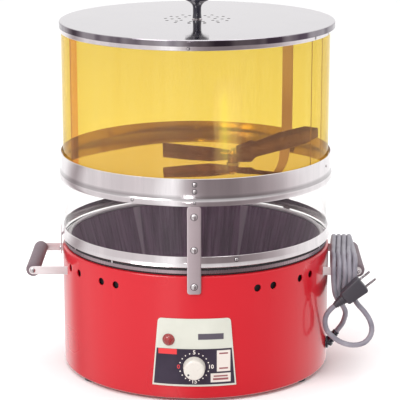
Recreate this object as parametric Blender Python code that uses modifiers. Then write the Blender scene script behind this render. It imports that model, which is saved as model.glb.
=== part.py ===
"""Drum popcorn maker: a heated base with a pan, a clear lower drum, and an amber upper
drum with a stirrer and a lift-off lid. Metres, +Z up, the front faces -Y, and the
floor is Z = 0. Azimuths are degrees from the front, positive towards +X."""

import math

import bmesh
import bpy
from mathutils import Matrix, Vector

# Driving dimensions
GAP = 0.0003              # clearance between pieces that touch
SIDES = 48                # sides of the big rings
SMALL_SIDES = 12          # sides of screws, pins and holes
SHEET = 0.0012            # thickness of the turned metal parts
FOOT_HEIGHT = 0.004
FOOT_RADIUS = 0.009
FOOT_AZIMUTHS = (-55, 55, -125, 125)

BASE_RADIUS = 0.180
BASE_HEIGHT = 0.164
BASE_WALL = 0.0015
BASE_EDGE = 0.003         # rounding of the shell's two edges
BASE_LIP = 0.027          # width of the flange at the bottom
VENT_RADIUS = 0.0049
VENT_DROP = 0.0206        # below the top of the shell
VENT_AZIMUTHS = (-66.4, -57.6, -42.0, -34.2, 26.6, 34.2, 49.4, 57.0)

PAN_DEPTH = 0.085
PAN_RADIUS = BASE_RADIUS - 0.0105       # inside, at the rim
PAN_FLOOR_RADIUS = PAN_RADIUS - 0.0195
PAN_CORNER = 0.022
BEAD_RADIUS = 0.0026
SEAT_HEIGHT = 0.0072
REFLECTOR_RADIUS = BASE_RADIUS - 0.040

SHEET_RADIUS = BASE_RADIUS - 0.0023     # outside of the two plastic drums
SHEET_WALL = 0.0010
CLEAR_HEIGHT = 0.1015
LOWER_BAND_HEIGHT = 0.0136
LOWER_BAND_RISE = 0.0117  # above the top of the base
LOWER_BAND_FLARE = 0.0022

BAND_RADIUS = SHEET_RADIUS + 0.0035     # middle band
BAND_HEIGHT = 0.0350
BAND_LIP = 0.0074
BAND_FLARE = 0.0018
FLOOR_DROP = 0.0136       # drum floor below the top of the middle band
FLOOR_THICKNESS = 0.0010
AMBER_HEIGHT = 0.1855
TOP_BAND_HEIGHT = 0.0122
SEAM_AZIMUTH = 133.5
SEAM_WIDTH = 0.020

LID_RADIUS = SHEET_RADIUS + 0.0043
LID_SKIRT = 0.0080
LID_HOLE_RADIUS = 0.0020
LID_HOLE_RINGS = ((0.024, 9), (0.033, 10), (0.042, 13))
KNOB_HEIGHT = 0.0290
KNOB_HEAD_RADIUS = 0.0165
KNOB_STEM_RADIUS = 0.0055

STRAP_WIDTH = 0.0176
STRAP_THICKNESS = 0.0012
STRAP_DROP = 0.0228       # front strap below the top of the base
STRAP_SCREWS = (-0.013, 0.035, 0.078)   # heights from the top of the base
CLIP_WIDTH = 0.012
CLIP_AZIMUTHS = (-85, 135)
CLIP_DROP = 0.016

HANDLE_HEIGHT = FOOT_HEIGHT + BASE_HEIGHT - 0.028
HANDLE_REACH = BASE_RADIUS + 0.0365     # grip's axis from the drum's axis
HANDLE_HALF_SPAN = 0.0573
HANDLE_BAR = (0.002, 0.011)             # thickness and height of the flat bars
HANDLE_END = 0.005        # bar beyond the grip's axis
GRIP_RADIUS = 0.0095

LABEL_LOW, LABEL_HIGH = 0.0217, 0.1124
LABEL_BOTTOM_WIDTH, LABEL_TOP_WIDTH = 0.109, 0.094
LABEL_THICKNESS = 0.0010
LABEL_CORNER = 0.005
TIMER_HEIGHT = 0.048
TIMER_DEPTH = 0.026
TIMER_KNOB_RADIUS = 0.01425
TIMER_KNOB_DEPTH = 0.0140
SHAFT_RADIUS = 0.003
SHAFT_LENGTH = 0.024
BORE_CLEARANCE = 0.0003
LAMP_PLACE = (-10.4, 0.084)             # azimuth and height
LAMP_RADIUS = 0.0080

STIRRER_PLACE = (0.050, -0.033)
STIRRER_LEFT, STIRRER_RIGHT = 0.097, 0.114
STIRRER_HUB_RADIUS = 0.009
STIRRER_HUB_HEIGHT = 0.013

CORD_RADIUS = 0.0035
GLAND_AZIMUTH = 80
GLAND_HEIGHT = 0.0316
GLAND_TILT = 55           # the sleeve points this far above the horizontal
GLAND_SLEEVE = 0.020
HANK_TURNS = 5
HANK_START = BASE_RADIUS + 0.0006       # nearest face, from the drum's axis
HANK_HALF_LENGTH = 0.072
HANK_END_RADIUS = 0.030
PLUG_TILT = 40
PLUG_SIZE = (0.032, 0.024, 0.016)
PLUG_NECK = 0.016
PRONG = (0.017, 0.0063, 0.0015)
PRONG_SPACING = 0.0127

# Heights that follow from them
BASE_TOP = FOOT_HEIGHT + BASE_HEIGHT
SEAT_TOP = BASE_TOP + GAP + SEAT_HEIGHT
PAN_RIM = SEAT_TOP + GAP + 2 * BEAD_RADIUS
PAN_FLOOR = PAN_RIM - PAN_DEPTH
CLEAR_TOP = SEAT_TOP + GAP + CLEAR_HEIGHT
LOWER_BAND_LOW = BASE_TOP + LOWER_BAND_RISE
LEDGE = 0.0022
FLOOR_LOW = CLEAR_TOP + GAP + LEDGE + GAP
FLOOR_TOP = FLOOR_LOW + FLOOR_THICKNESS
BAND_TOP = FLOOR_TOP + FLOOR_DROP
BAND_LOW = BAND_TOP - BAND_HEIGHT
AMBER_TOP = FLOOR_TOP + GAP + AMBER_HEIGHT
LID_LOW = AMBER_TOP + GAP
LID_TOP = LID_LOW + SHEET
# The drum's axis stands behind the origin, so that the origin is the middle of the box
# of the object without its cord: the knob reaches forward, the lid backward.
LABEL_FACE = BASE_RADIUS + GAP + LABEL_THICKNESS
FRONT_REACH = LABEL_FACE + 2 * GAP + TIMER_KNOB_DEPTH
BAND_REACH = BAND_RADIUS + BAND_FLARE
AXIS_Y = (FRONT_REACH - BAND_REACH) / 2


def clear_scene():
    for thing in list(bpy.data.objects):
        bpy.data.objects.remove(thing, do_unlink=True)


clear_scene()
PARTS = bpy.data.collections.new("popcorn_maker")
CUTTERS = bpy.data.collections.new("cutters")
bpy.context.scene.collection.children.link(PARTS)
bpy.context.scene.collection.children.link(CUTTERS)
ASSEMBLY = bpy.data.objects.new("assembly", None)
ASSEMBLY.location = (0, AXIS_Y, 0)
PARTS.objects.link(ASSEMBLY)


def paint(name, colour, roughness, metallic=0.0):
    """A plain material."""
    made = bpy.data.materials.new(name)
    made.use_nodes = True
    shader = made.node_tree.nodes["Principled BSDF"]
    shader.inputs["Base Color"].default_value = (*colour, 1)
    shader.inputs["Roughness"].default_value = roughness
    shader.inputs["Metallic"].default_value = metallic
    made.diffuse_color = (*colour, 1)
    return made


RED = paint("red_enamel", (0.78, 0.035, 0.05), 0.25)
STEEL = paint("polished_steel", (0.72, 0.70, 0.71), 0.18, 1.0)
SATIN = paint("satin_steel", (0.60, 0.58, 0.58), 0.35, 1.0)
DARK_METAL = paint("coated_metal", (0.10, 0.07, 0.09), 0.3, 0.6)
AMBER = paint("amber_plastic", (0.95, 0.72, 0.10), 0.08)
CLEAR = paint("clear_plastic", (0.93, 0.92, 0.90), 0.06)
BLACK = paint("black_plastic", (0.02, 0.02, 0.03), 0.3)
RUBBER = paint("black_rubber", (0.03, 0.03, 0.03), 0.8)
GRIP = paint("grip_plastic", (0.16, 0.13, 0.15), 0.55)
CREAM = paint("cream_plastic", (0.88, 0.83, 0.70), 0.35)
LAMP_RED = paint("lamp_red", (0.45, 0.02, 0.03), 0.12)
CORD_GREY = paint("cord_grey", (0.26, 0.24, 0.28), 0.45)
BRASS = paint("brass", (0.75, 0.55, 0.25), 0.3, 1.0)
CERAMIC = paint("ceramic", (0.82, 0.80, 0.74), 0.7)
LABEL = paint("label_white", (0.88, 0.81, 0.76), 0.4)


def towards(azimuth, tilt=0):
    """The direction that leaves the drum's axis at this azimuth, tilted upwards."""
    turn, rise = math.radians(azimuth), math.radians(tilt)
    return Vector((math.sin(turn) * math.cos(rise), -math.cos(turn) * math.cos(rise), math.sin(rise)))


def on_drum(azimuth, radius, height):
    """A point at this azimuth, distance from the axis and height."""
    return towards(azimuth) * radius + Vector((0, 0, height))


def put(thing, where, direction=None, finish=None):
    """Parents an object to the assembly, its +Z along direction; a cutter has no finish."""
    thing.parent = ASSEMBLY
    turn = Vector(direction).to_track_quat("Z", "Y") if direction else Matrix.Identity(3).to_quaternion()
    thing.matrix_basis = Matrix.Translation(where) @ turn.to_matrix().to_4x4()
    if finish:
        PARTS.objects.link(thing)
        thing.data.materials.append(finish)
    else:
        CUTTERS.objects.link(thing)
        thing.hide_render = True
        thing.display_type = "WIRE"
    return thing


def arc(centre, radius, start, end, steps=4):
    """Points on an arc of a profile, with angles in degrees from +X towards +Z."""
    angles = [math.radians(start + (end - start) * i / steps) for i in range(steps + 1)]
    return [(centre[0] + radius * math.cos(a), centre[1] + radius * math.sin(a)) for a in angles]


def turned(name, profile, finish, where=(0, 0, 0), direction=None, ring=False, sides=SMALL_SIDES):
    """Turns a profile of (radius, height), which runs down its outer side. A ring's
    profile closes on itself, and any other starts and ends on the axis."""
    mesh = bpy.data.meshes.new(name)
    count = len(profile)
    edges = [(i, i + 1) for i in range(count - 1)] + ([(count - 1, 0)] if ring else [])
    mesh.from_pydata([(r, 0, z) for r, z in profile], edges, [])
    thing = bpy.data.objects.new(name, mesh)
    screw = thing.modifiers.new("turn", "SCREW")
    screw.axis = "Z"
    screw.steps = screw.render_steps = sides
    screw.use_merge_vertices = True
    screw.merge_threshold = 0.00001
    return put(thing, where, direction, finish)


def rod(name, radius, length, finish, where=(0, 0, 0), direction=None, sides=SMALL_SIDES):
    """A cylinder that starts at where and runs along direction, or upwards."""
    shape = bmesh.new()
    bmesh.ops.create_cone(shape, cap_ends=True, segments=sides, radius1=radius, radius2=radius,
                          depth=length, matrix=Matrix.Translation((0, 0, length / 2)))
    mesh = bpy.data.meshes.new(name)
    shape.to_mesh(mesh)
    shape.free()
    return put(bpy.data.objects.new(name, mesh), where, direction, finish)


def block(name, size, finish, where, direction=None, edge=0):
    """A box centred at where, with its edges rounded."""
    shape = bmesh.new()
    bmesh.ops.create_cube(shape, size=1)
    bmesh.ops.scale(shape, vec=size, verts=shape.verts)
    mesh = bpy.data.meshes.new(name)
    shape.to_mesh(mesh)
    shape.free()
    thing = put(bpy.data.objects.new(name, mesh), where, direction, finish)
    if edge:
        bevel = thing.modifiers.new("edges", "BEVEL")
        bevel.width = edge
        bevel.segments = 2
    return thing


def joined(thing, operation, others):
    """Cuts with, adds or keeps the overlap with each of the others."""
    for other in others:
        step = thing.modifiers.new(other.name, "BOOLEAN")
        step.operation = operation
        step.object = other
    return thing


def outline(name, points, thickness, finish, where=(0, 0, 0), turn=None):
    """A flat shape of this outline, turned from its own XY plane, as a closed mesh."""
    curve = bpy.data.curves.new(name, "CURVE")
    curve.dimensions = "2D"
    curve.fill_mode = "BOTH"
    curve.extrude = thickness / 2
    spline = curve.splines.new("POLY")
    spline.points.add(len(points) - 1)
    for point, (x, y) in zip(spline.points, points):
        point.co = (x, y, 0, 1)
    spline.use_cyclic_u = True
    return meshed(name, curve, finish, where, turn)


def meshed(name, curve, finish, where=(0, 0, 0), turn=None):
    """A curve's own surface as a mesh with welded caps."""
    guide = bpy.data.objects.new(name + "_curve", curve)
    CUTTERS.objects.link(guide)
    mesh = bpy.data.meshes.new_from_object(guide.evaluated_get(bpy.context.evaluated_depsgraph_get()))
    bpy.data.objects.remove(guide)
    shape = bmesh.new()
    shape.from_mesh(mesh)
    bmesh.ops.remove_doubles(shape, verts=shape.verts, dist=0.00001)
    bmesh.ops.recalc_face_normals(shape, faces=shape.faces)
    shape.to_mesh(mesh)
    shape.free()
    mesh.materials.clear()
    thing = put(bpy.data.objects.new(name, mesh), where, None, finish)
    if turn:
        thing.matrix_basis = Matrix.Translation(where) @ turn
    return thing


def smooth_route(points, spacing):
    """Points this far apart on the smooth curve through a route's own points."""
    ends = [2 * points[0] - points[1], *points, 2 * points[-1] - points[-2]]
    fine = []
    for a, b, c, d in zip(ends, ends[1:], ends[2:], ends[3:]):
        for i in range(20):
            t = i / 20
            fine.append(0.5 * (2 * b + (c - a) * t + (2 * a - 5 * b + 4 * c - d) * t ** 2
                               + (3 * b - a - 3 * c + d) * t ** 3))
    fine.append(points[-1])
    along = [0.0]
    for a, b in zip(fine, fine[1:]):
        along.append(along[-1] + (b - a).length)
    count = max(2, round(along[-1] / spacing))
    route, k = [], 0
    for i in range(count + 1):
        target = along[-1] * i / count
        while k < len(along) - 2 and along[k + 1] < target:
            k += 1
        share = (target - along[k]) / max(along[k + 1] - along[k], 1e-9)
        route.append(fine[k].lerp(fine[k + 1], min(share, 1.0)))
    return route


def cord(name, points):
    """A stretch of the mains cord along a route."""
    curve = bpy.data.curves.new(name, "CURVE")
    curve.dimensions = "3D"
    curve.bevel_depth = CORD_RADIUS
    curve.bevel_resolution = 3
    curve.use_fill_caps = True
    route = smooth_route([Vector(p) for p in points], 4 * CORD_RADIUS)
    spline = curve.splines.new("POLY")
    spline.points.add(len(route) - 1)
    for point, place in zip(spline.points, route):
        point.co = (*place, 1)
    return meshed(name, curve, CORD_GREY)


def dome_screw(name, head, rise, shank, length, where, direction):
    """A domed screw: the underside of its head at where, its shank into the part."""
    profile = [(head * math.sin(a), rise * math.cos(a)) for a in (0, 0.5, 1.0, math.pi / 2)]
    profile += [(shank, 0), (shank, -length), (0, -length)]
    return turned(name, profile, STEEL, where, direction)


def ring_part(name, inner, outer, low, high, azimuth, width, finish, corner=0.0):
    """A piece of a ring this wide, cut from the whole ring by a flat shape with round
    corners that stands across it."""
    part = turned(name, [(outer, high), (outer, low), (inner, low), (inner, high)], finish,
                  ring=True, sides=SIDES)
    middle, half = (low + high) / 2, (high - low) / 2 + GAP
    if corner:
        edge = rounded_box(width / 2, half - GAP, corner)
    else:
        edge = [(-width / 2, -half), (width / 2, -half), (width / 2, half), (-width / 2, half)]
    upright = Matrix.Rotation(math.radians(azimuth), 4, "Z") @ Matrix.Rotation(math.pi / 2, 4, "X")
    stencil = outline(name + "_stencil", edge, outer, None,
                      on_drum(azimuth, outer * 0.8, middle), upright)
    return joined(part, "INTERSECT", [stencil])


def rounded_box(half_width, half_height, corner):
    """The outline of a rectangle with round corners, counter-clockwise."""
    x, y = half_width - corner, half_height - corner
    corners = (((x, y), 0), ((-x, y), 90), ((-x, -y), 180), ((x, -y), 270))
    return [p for centre, start in corners for p in arc(centre, corner, start, start + 90, 3)]


def radial_hole(name, radius, azimuth, height):
    """A cutter across the walls of the drums."""
    return rod(name, radius, 0.018, None, on_drum(azimuth, BASE_RADIUS + 0.008, height), -towards(azimuth))


def base():
    """The enamelled shell, its bottom cover and its feet."""
    low, top, radius, wall = FOOT_HEIGHT, BASE_TOP, BASE_RADIUS, BASE_WALL
    seat = PAN_RADIUS + SHEET + GAP
    inside = radius - wall
    profile = [(seat, top)]
    profile += arc((radius - BASE_EDGE, top - BASE_EDGE), BASE_EDGE, 90, 0, 3)
    profile += arc((radius - BASE_EDGE, low + BASE_EDGE), BASE_EDGE, 0, -90, 3)
    profile += [(radius - BASE_LIP, low), (radius - BASE_LIP, low + wall), (inside - wall, low + wall),
                (inside, low + 2 * wall), (inside, top - 2 * wall), (inside - wall, top - wall),
                (seat, top - wall)]
    shell = turned("base_shell", profile, RED, ring=True, sides=SIDES)
    vents = [radial_hole(f"vent_{i}", VENT_RADIUS, azimuth, top - VENT_DROP)
             for i, azimuth in enumerate(VENT_AZIMUTHS)]
    others = [radial_hole("gland_hole", 0.0066, GLAND_AZIMUTH, GLAND_HEIGHT),
              radial_hole("strap_hole", 0.0022, 0, BASE_TOP + STRAP_SCREWS[0]),
              radial_hole("shaft_hole", 0.0066, 0, TIMER_HEIGHT),
              radial_hole("lamp_hole", 0.0062, *LAMP_PLACE)]
    others += [radial_hole(f"clip_hole_{i}", 0.0022, azimuth, BASE_TOP - CLIP_DROP / 2)
               for i, azimuth in enumerate(CLIP_AZIMUTHS)]
    joined(shell, "DIFFERENCE", vents + others)
    cover_low = low + wall + GAP
    cover_radius = radius - wall - 0.004
    turned("bottom_cover", [(0, cover_low + SHEET), (cover_radius, cover_low + SHEET),
                            (cover_radius, cover_low), (0, cover_low)], SATIN, sides=SIDES)
    for i, azimuth in enumerate(FOOT_AZIMUTHS, 1):
        rubber = [(0, low - GAP), (FOOT_RADIUS, low - GAP), (FOOT_RADIUS * 0.85, 0), (0, 0)]
        turned(f"foot_{i}", rubber, RUBBER, on_drum(azimuth, radius - FOOT_RADIUS - BASE_EDGE, 0))
    return cover_low + SHEET


def heating(cover_top):
    """The pan on its seat ring, with what heats it below."""
    inner, outer = PAN_RADIUS, PAN_RADIUS + SHEET
    turned("pan_seat_ring", [(SHEET_RADIUS, SEAT_TOP), (SHEET_RADIUS, BASE_TOP + GAP),
                             (outer + GAP, BASE_TOP + GAP), (outer + GAP, SEAT_TOP)],
           SATIN, ring=True, sides=SIDES)
    floor, corner = PAN_FLOOR, PAN_CORNER
    turn_in = (PAN_FLOOR_RADIUS - corner, floor + corner)
    bead = (inner + BEAD_RADIUS, PAN_RIM - BEAD_RADIUS)
    profile = [(0, floor)] + arc(turn_in, corner, -90, -8, 4)
    profile += arc(bead, BEAD_RADIUS, 180, -90, 6)
    profile += [(outer, PAN_RIM - 2 * BEAD_RADIUS)]
    profile += arc(turn_in, corner + SHEET, -8, -90, 4) + [(0, floor - SHEET)]
    turned("pan", profile, DARK_METAL, sides=SIDES)
    tube = 0.004
    element_top = floor - SHEET - GAP
    bpy.ops.mesh.primitive_torus_add(major_segments=32, minor_segments=8, major_radius=0.095,
                                     minor_radius=tube)
    element = bpy.context.object
    element.name = element.data.name = "heating_element"
    for owner in list(element.users_collection):
        owner.objects.unlink(element)
    put(element, (0, 0, element_top - tube), None, SATIN)
    plate = element_top - 2 * tube - GAP
    width, skirt = REFLECTOR_RADIUS, cover_top + GAP
    turned("heat_reflector", [(0, plate), (width, plate), (width, skirt), (width - SHEET, skirt),
                              (width - SHEET, plate - SHEET), (0, plate - SHEET)], SATIN, sides=32)
    rod("thermostat", 0.013, 2 * tube, BRASS, (0, 0, plate + GAP), sides=16)
    block("terminal_block", (0.024, 0.018, 0.014), CERAMIC,
          on_drum(GLAND_AZIMUTH, BASE_RADIUS - 0.020, cover_top + GAP + 0.007), edge=0.001)


def lower_drum():
    """The clear wall above the pan, its band, and the strap and clips that hold it."""
    inner = SHEET_RADIUS - SHEET_WALL
    low = SEAT_TOP + GAP
    wall = turned("clear_cylinder", [(SHEET_RADIUS, CLEAR_TOP), (SHEET_RADIUS, low), (inner, low),
                                     (inner, CLEAR_TOP)], CLEAR, ring=True, sides=SIDES)
    fit = SHEET_RADIUS + GAP
    band_low, band_top = LOWER_BAND_LOW, LOWER_BAND_LOW + LOWER_BAND_HEIGHT
    knee = band_low + LOWER_BAND_HEIGHT / 3
    band_out = fit + SHEET_WALL
    turned("lower_band", [(band_out, band_top), (band_out, knee), (band_out + LOWER_BAND_FLARE, band_low),
                          (fit + LOWER_BAND_FLARE, band_low), (fit, knee), (fit, band_top)],
           STEEL, ring=True, sides=SIDES)
    strap_in = band_out + LOWER_BAND_FLARE + GAP
    strap_out = strap_in + STRAP_THICKNESS
    strap = ring_part("front_strap", strap_in, strap_out, BASE_TOP - STRAP_DROP, BAND_LOW - GAP, 0,
                      STRAP_WIDTH, SATIN, corner=0.004)
    heights = [BASE_TOP + rise for rise in STRAP_SCREWS]
    cuts = [radial_hole(f"strap_screw_hole_{i}", 0.0022, 0, height) for i, height in enumerate(heights)]
    joined(strap, "DIFFERENCE", cuts)
    joined(wall, "DIFFERENCE", cuts[1:])
    for i, height in enumerate(heights, 1):
        dome_screw(f"strap_screw_{i}", 0.004, 0.002, 0.0018, 0.0095,
                   on_drum(0, strap_out + GAP, height), towards(0))
    for i, azimuth in enumerate(CLIP_AZIMUTHS, 1):
        clip = ring_part(f"band_clip_{i}", strap_in, strap_out, BASE_TOP - CLIP_DROP, band_top, azimuth,
                         CLIP_WIDTH, SATIN, corner=0.002)
        joined(clip, "DIFFERENCE", [bpy.data.objects[f"clip_hole_{i - 1}"]])
        dome_screw(f"clip_screw_{i}", 0.0035, 0.0018, 0.0018, 0.007,
                   on_drum(azimuth, strap_out + GAP, BASE_TOP - CLIP_DROP / 2), towards(azimuth))


def upper_drum():
    """The middle band with the floor, the amber wall, its seam strap and the top band."""
    wall, out, low = SHEET_WALL, BAND_RADIUS, BAND_LOW
    flare, shoulder = out + BAND_FLARE, BAND_LOW + BAND_LIP
    ledge_in = SHEET_RADIUS - 0.0025
    turned("middle_band", [(out, BAND_TOP), (out, shoulder), (flare, shoulder - 0.001), (flare, low),
                           (flare - wall, low), (flare - wall, shoulder - 0.002),
                           (out - wall, shoulder - 0.001), (out - wall, FLOOR_LOW - GAP - LEDGE),
                           (ledge_in, FLOOR_LOW - GAP - LEDGE), (ledge_in, FLOOR_LOW - GAP),
                           (out - wall, FLOOR_LOW - GAP), (out - wall, BAND_TOP)],
           STEEL, ring=True, sides=SIDES)
    plate = out - wall - GAP
    turned("drum_floor", [(0, FLOOR_TOP), (plate, FLOOR_TOP), (plate, FLOOR_LOW), (0, FLOOR_LOW)],
           STEEL, sides=SIDES)
    inner, foot = SHEET_RADIUS - wall, FLOOR_TOP + GAP
    turned("amber_cylinder", [(SHEET_RADIUS, AMBER_TOP), (SHEET_RADIUS, foot), (inner, foot),
                              (inner, AMBER_TOP)], AMBER, ring=True, sides=SIDES)
    ring_part("seam_strap", inner - GAP - wall, inner - GAP, foot, AMBER_TOP, SEAM_AZIMUTH,
              SEAM_WIDTH, SATIN)
    fit = SHEET_RADIUS + GAP
    band_low = AMBER_TOP - TOP_BAND_HEIGHT
    turned("top_band", [(fit + wall, AMBER_TOP), (fit + wall, band_low), (fit, band_low), (fit, AMBER_TOP)],
           STEEL, ring=True, sides=SIDES)


def stirrer():
    """Two blades on a hub that turns on a fixed spindle, held by a nut."""
    x, y = STIRRER_PLACE
    foot = FLOOR_TOP + GAP
    flange, hub_low = 0.0015, FLOOR_TOP + 2 * GAP + 0.0015
    hub_top = hub_low + STIRRER_HUB_HEIGHT
    nut = 0.006
    turned("stirrer_spindle", [(0, hub_top + nut - foot), (SHAFT_RADIUS, hub_top + nut - foot),
                               (SHAFT_RADIUS, flange), (STIRRER_HUB_RADIUS, flange),
                               (STIRRER_HUB_RADIUS, 0), (0, 0)], STEEL, (x, y, foot), sides=16)
    bore = SHAFT_RADIUS + BORE_CLEARANCE
    hub = turned("stirrer", [(STIRRER_HUB_RADIUS, STIRRER_HUB_HEIGHT), (STIRRER_HUB_RADIUS, 0), (bore, 0),
                             (bore, STIRRER_HUB_HEIGHT)], SATIN, (x, y, hub_low), ring=True, sides=16)
    root = STIRRER_HUB_RADIUS - 0.002
    left = [(root, -0.005), (0.035, -0.014), (0.090, -0.018), (STIRRER_LEFT, -0.015),
            (STIRRER_LEFT, 0.016), (0.030, 0.013), (root, 0.006)]
    right = [(root, -0.0045), (0.040, -0.012), (0.105, -0.013), (STIRRER_RIGHT, -0.005),
             (STIRRER_RIGHT, 0.006), (0.100, 0.013), (0.060, 0.013), (0.026, 0.010), (root, 0.0045)]
    low, high = 0.004, 0.005
    back = Matrix.Rotation(math.pi, 4, "Z")
    left_turn = back @ Matrix.Rotation(math.radians(-7.5), 4, "Y") @ Matrix.Rotation(math.radians(-26), 4, "X")
    right_turn = Matrix.Rotation(math.radians(-17), 4, "Y") @ Matrix.Rotation(math.radians(62), 4, "X")
    blades = [outline("left_blade", left, 0.0015, None, (x, y, hub_low + low), left_turn),
              outline("right_blade", right, 0.0015, None, (x, y, hub_low + high), right_turn)]
    joined(hub, "UNION", blades)
    turned("stirrer_nut", [(0.0055, nut), (0.0058, 0), (bore, 0), (bore, nut)], BRASS,
           (x, y, hub_top + GAP), ring=True, sides=16)


def lid():
    """The lid with its vent holes, and the spool-shaped knob on it."""
    radius, skirt, edge = LID_RADIUS, LID_TOP - LID_SKIRT, 0.0015
    profile = [(0, SHEET), (radius - edge, SHEET)] + arc((radius - edge, SHEET - edge), edge, 90, 0, 3)[1:]
    profile += [(radius, skirt - LID_LOW), (radius - 0.0008, skirt - LID_LOW), (radius - 0.0008, 0), (0, 0)]
    plate = turned("lid", profile, STEEL, (0, 0, LID_LOW), sides=SIDES)
    vents = []
    for reach, count in LID_HOLE_RINGS:
        vents += [rod(f"lid_vent_{reach:.3f}_{i}", LID_HOLE_RADIUS, 0.01, None,
                      on_drum(360 * (i + 0.5) / count, reach, LID_LOW - 0.005), sides=6)
                  for i in range(count)]
    vents.append(rod("lid_bore", 0.0025, 0.01, None, (0, 0, LID_LOW - 0.005)))
    joined(plate, "DIFFERENCE", vents)
    washer = 0.001
    turned("knob_washer", [(0.0085, washer), (0.0085, 0), (0.0025, 0), (0.0025, washer)], STEEL,
           (0, 0, LID_TOP + GAP), ring=True, sides=16)
    height, head, stem, bore = KNOB_HEIGHT, KNOB_HEAD_RADIUS, KNOB_STEM_RADIUS, 0.0022
    foot = LID_TOP + washer + 2 * GAP
    cap = 0.008
    spool = [(0, height - 0.001), (cap + GAP, height - 0.001), (cap + GAP, height), (head - 0.003, height),
             (head, height - 0.002), (head - 0.001, height - 0.005), (0.0105, height - 0.008),
             (stem + 0.001, height - 0.011), (stem, height / 2), (stem, 0.005), (0.0075, 0),
             (bore, 0), (bore, 0.012), (0, 0.012)]
    turned("lid_knob", spool, BLACK, (0, 0, foot), sides=20)
    turned("knob_cap", [(0, 0.0018), (cap * 0.6, 0.0014), (cap, 0.0004), (cap, 0), (0, 0)], SATIN,
           (0, 0, foot + height - 0.001 + GAP), sides=20)
    turned("knob_screw", [(0, 0.011), (0.0018, 0.011), (0.0018, 0), (0.0045, 0), (0.003, -0.002), (0, -0.002)],
           STEEL, (0, 0, LID_LOW - GAP))


def controls():
    """The curved label, the lamp and the timer behind it with its knob."""
    half_low, half_high = LABEL_BOTTOM_WIDTH / 2, LABEL_TOP_WIDTH / 2
    high = LABEL_HIGH - LABEL_CORNER
    edge = [(-half_low, LABEL_LOW), (half_low, LABEL_LOW)]
    edge += arc((half_high - LABEL_CORNER, high), LABEL_CORNER, 0, 90, 3)
    edge += arc((LABEL_CORNER - half_high, high), LABEL_CORNER, 90, 180, 3)
    inner = BASE_RADIUS + GAP
    plate = turned("label_plate", [(LABEL_FACE, LABEL_HIGH), (LABEL_FACE, LABEL_LOW), (inner, LABEL_LOW),
                                   (inner, LABEL_HIGH)], LABEL, ring=True, sides=SIDES)
    stencil = outline("label_stencil", edge, BASE_RADIUS, None, (0, -BASE_RADIUS, 0),
                      Matrix.Rotation(math.pi / 2, 4, "X"))
    joined(plate, "INTERSECT", [stencil])
    joined(plate, "DIFFERENCE", [bpy.data.objects["shaft_hole"], bpy.data.objects["lamp_hole"]])
    azimuth, height = LAMP_PLACE
    face = LABEL_FACE + GAP
    outward = towards(azimuth)
    turned("lamp_lens", [(0, 0.0045), (LAMP_RADIUS * 0.5, 0.0040), (LAMP_RADIUS * 0.87, 0.0025),
                         (LAMP_RADIUS, 0.0008), (LAMP_RADIUS, 0), (0, 0)], LAMP_RED,
           on_drum(azimuth, face, height), outward, sides=20)
    turned("lamp_body", [(0, 0), (0.0055, 0), (0.0055, -0.025), (0, -0.025)], CERAMIC,
           on_drum(azimuth, face - GAP, height), outward)
    depth, bore = TIMER_DEPTH, SHAFT_RADIUS + BORE_CLEARANCE
    back = BASE_RADIUS - BASE_WALL - 0.003 - depth
    body = block("timer_body", (0.050, 0.044, depth), SATIN, (0, -back - depth / 2, TIMER_HEIGHT),
                 towards(0), edge=0.002)
    boss = rod("timer_boss", 0.0060, LABEL_FACE - back - depth / 2, None,
               (0, -back - depth / 2, TIMER_HEIGHT), towards(0), sides=16)
    shaft_face = LABEL_FACE + TIMER_KNOB_DEPTH / 2
    shaft_cut = rod("timer_bore", bore, 0.05, None, (0, GAP + SHAFT_LENGTH - shaft_face, TIMER_HEIGHT),
                    towards(0), sides=16)
    joined(body, "UNION", [boss])
    joined(body, "DIFFERENCE", [shaft_cut])
    rod("timer_shaft", SHAFT_RADIUS, SHAFT_LENGTH, BRASS, (0, SHAFT_LENGTH - shaft_face, TIMER_HEIGHT),
        towards(0), sides=16)
    radius, deep = TIMER_KNOB_RADIUS, TIMER_KNOB_DEPTH
    socket = TIMER_KNOB_DEPTH / 2 - GAP
    turned("timer_knob", [(0, deep), (radius * 0.82, deep), (radius * 0.9, deep - 0.0012),
                          (radius, 0.0015), (radius, 0), (bore, 0), (bore, socket), (0, socket)],
           CREAM, (0, -LABEL_FACE - 2 * GAP, TIMER_HEIGHT), towards(0), sides=24)


def handles():
    """A pair of handles: each a grip held between two flat bars by screws."""
    thick, tall = HANDLE_BAR
    start, end = BASE_RADIUS * 0.9, HANDLE_REACH + HANDLE_END
    drum = rod("handle_trim", BASE_RADIUS + GAP, BASE_HEIGHT, None, (0, 0, FOOT_HEIGHT), sides=SIDES)
    number = 0
    for side, side_name in ((-1, "left"), (1, "right")):
        grip_half = HANDLE_HALF_SPAN - GAP
        turned(f"{side_name}_grip", [(GRIP_RADIUS - 0.0006, 2 * grip_half), (GRIP_RADIUS, 2 * grip_half - 0.0012),
                                     (GRIP_RADIUS, 0.0012), (GRIP_RADIUS - 0.0006, 0), (0.002, 0),
                                     (0.002, 2 * grip_half)],
               GRIP, (side * HANDLE_REACH, grip_half, HANDLE_HEIGHT), (0, -1, 0), ring=True, sides=20)
        for end_side, end_name in ((-1, "front"), (1, "back")):
            number += 1
            middle = end_side * (HANDLE_HALF_SPAN + thick / 2)
            bar = block(f"{side_name}_{end_name}_bar", (end - start, thick, tall), STEEL,
                        (side * (start + end) / 2, middle, HANDLE_HEIGHT))
            outer = end_side * (HANDLE_HALF_SPAN + thick + GAP)
            place = Vector((side * HANDLE_REACH, outer, HANDLE_HEIGHT))
            out = Vector((0, end_side, 0))
            cut = rod(f"bar_hole_{number}", 0.0019, 0.01, None, place + out * 0.004, -out)
            joined(bar, "DIFFERENCE", [drum, cut])
            dome_screw(f"grip_screw_{number}", 0.0034, 0.0015, 0.0015, 0.014, place, out)


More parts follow.
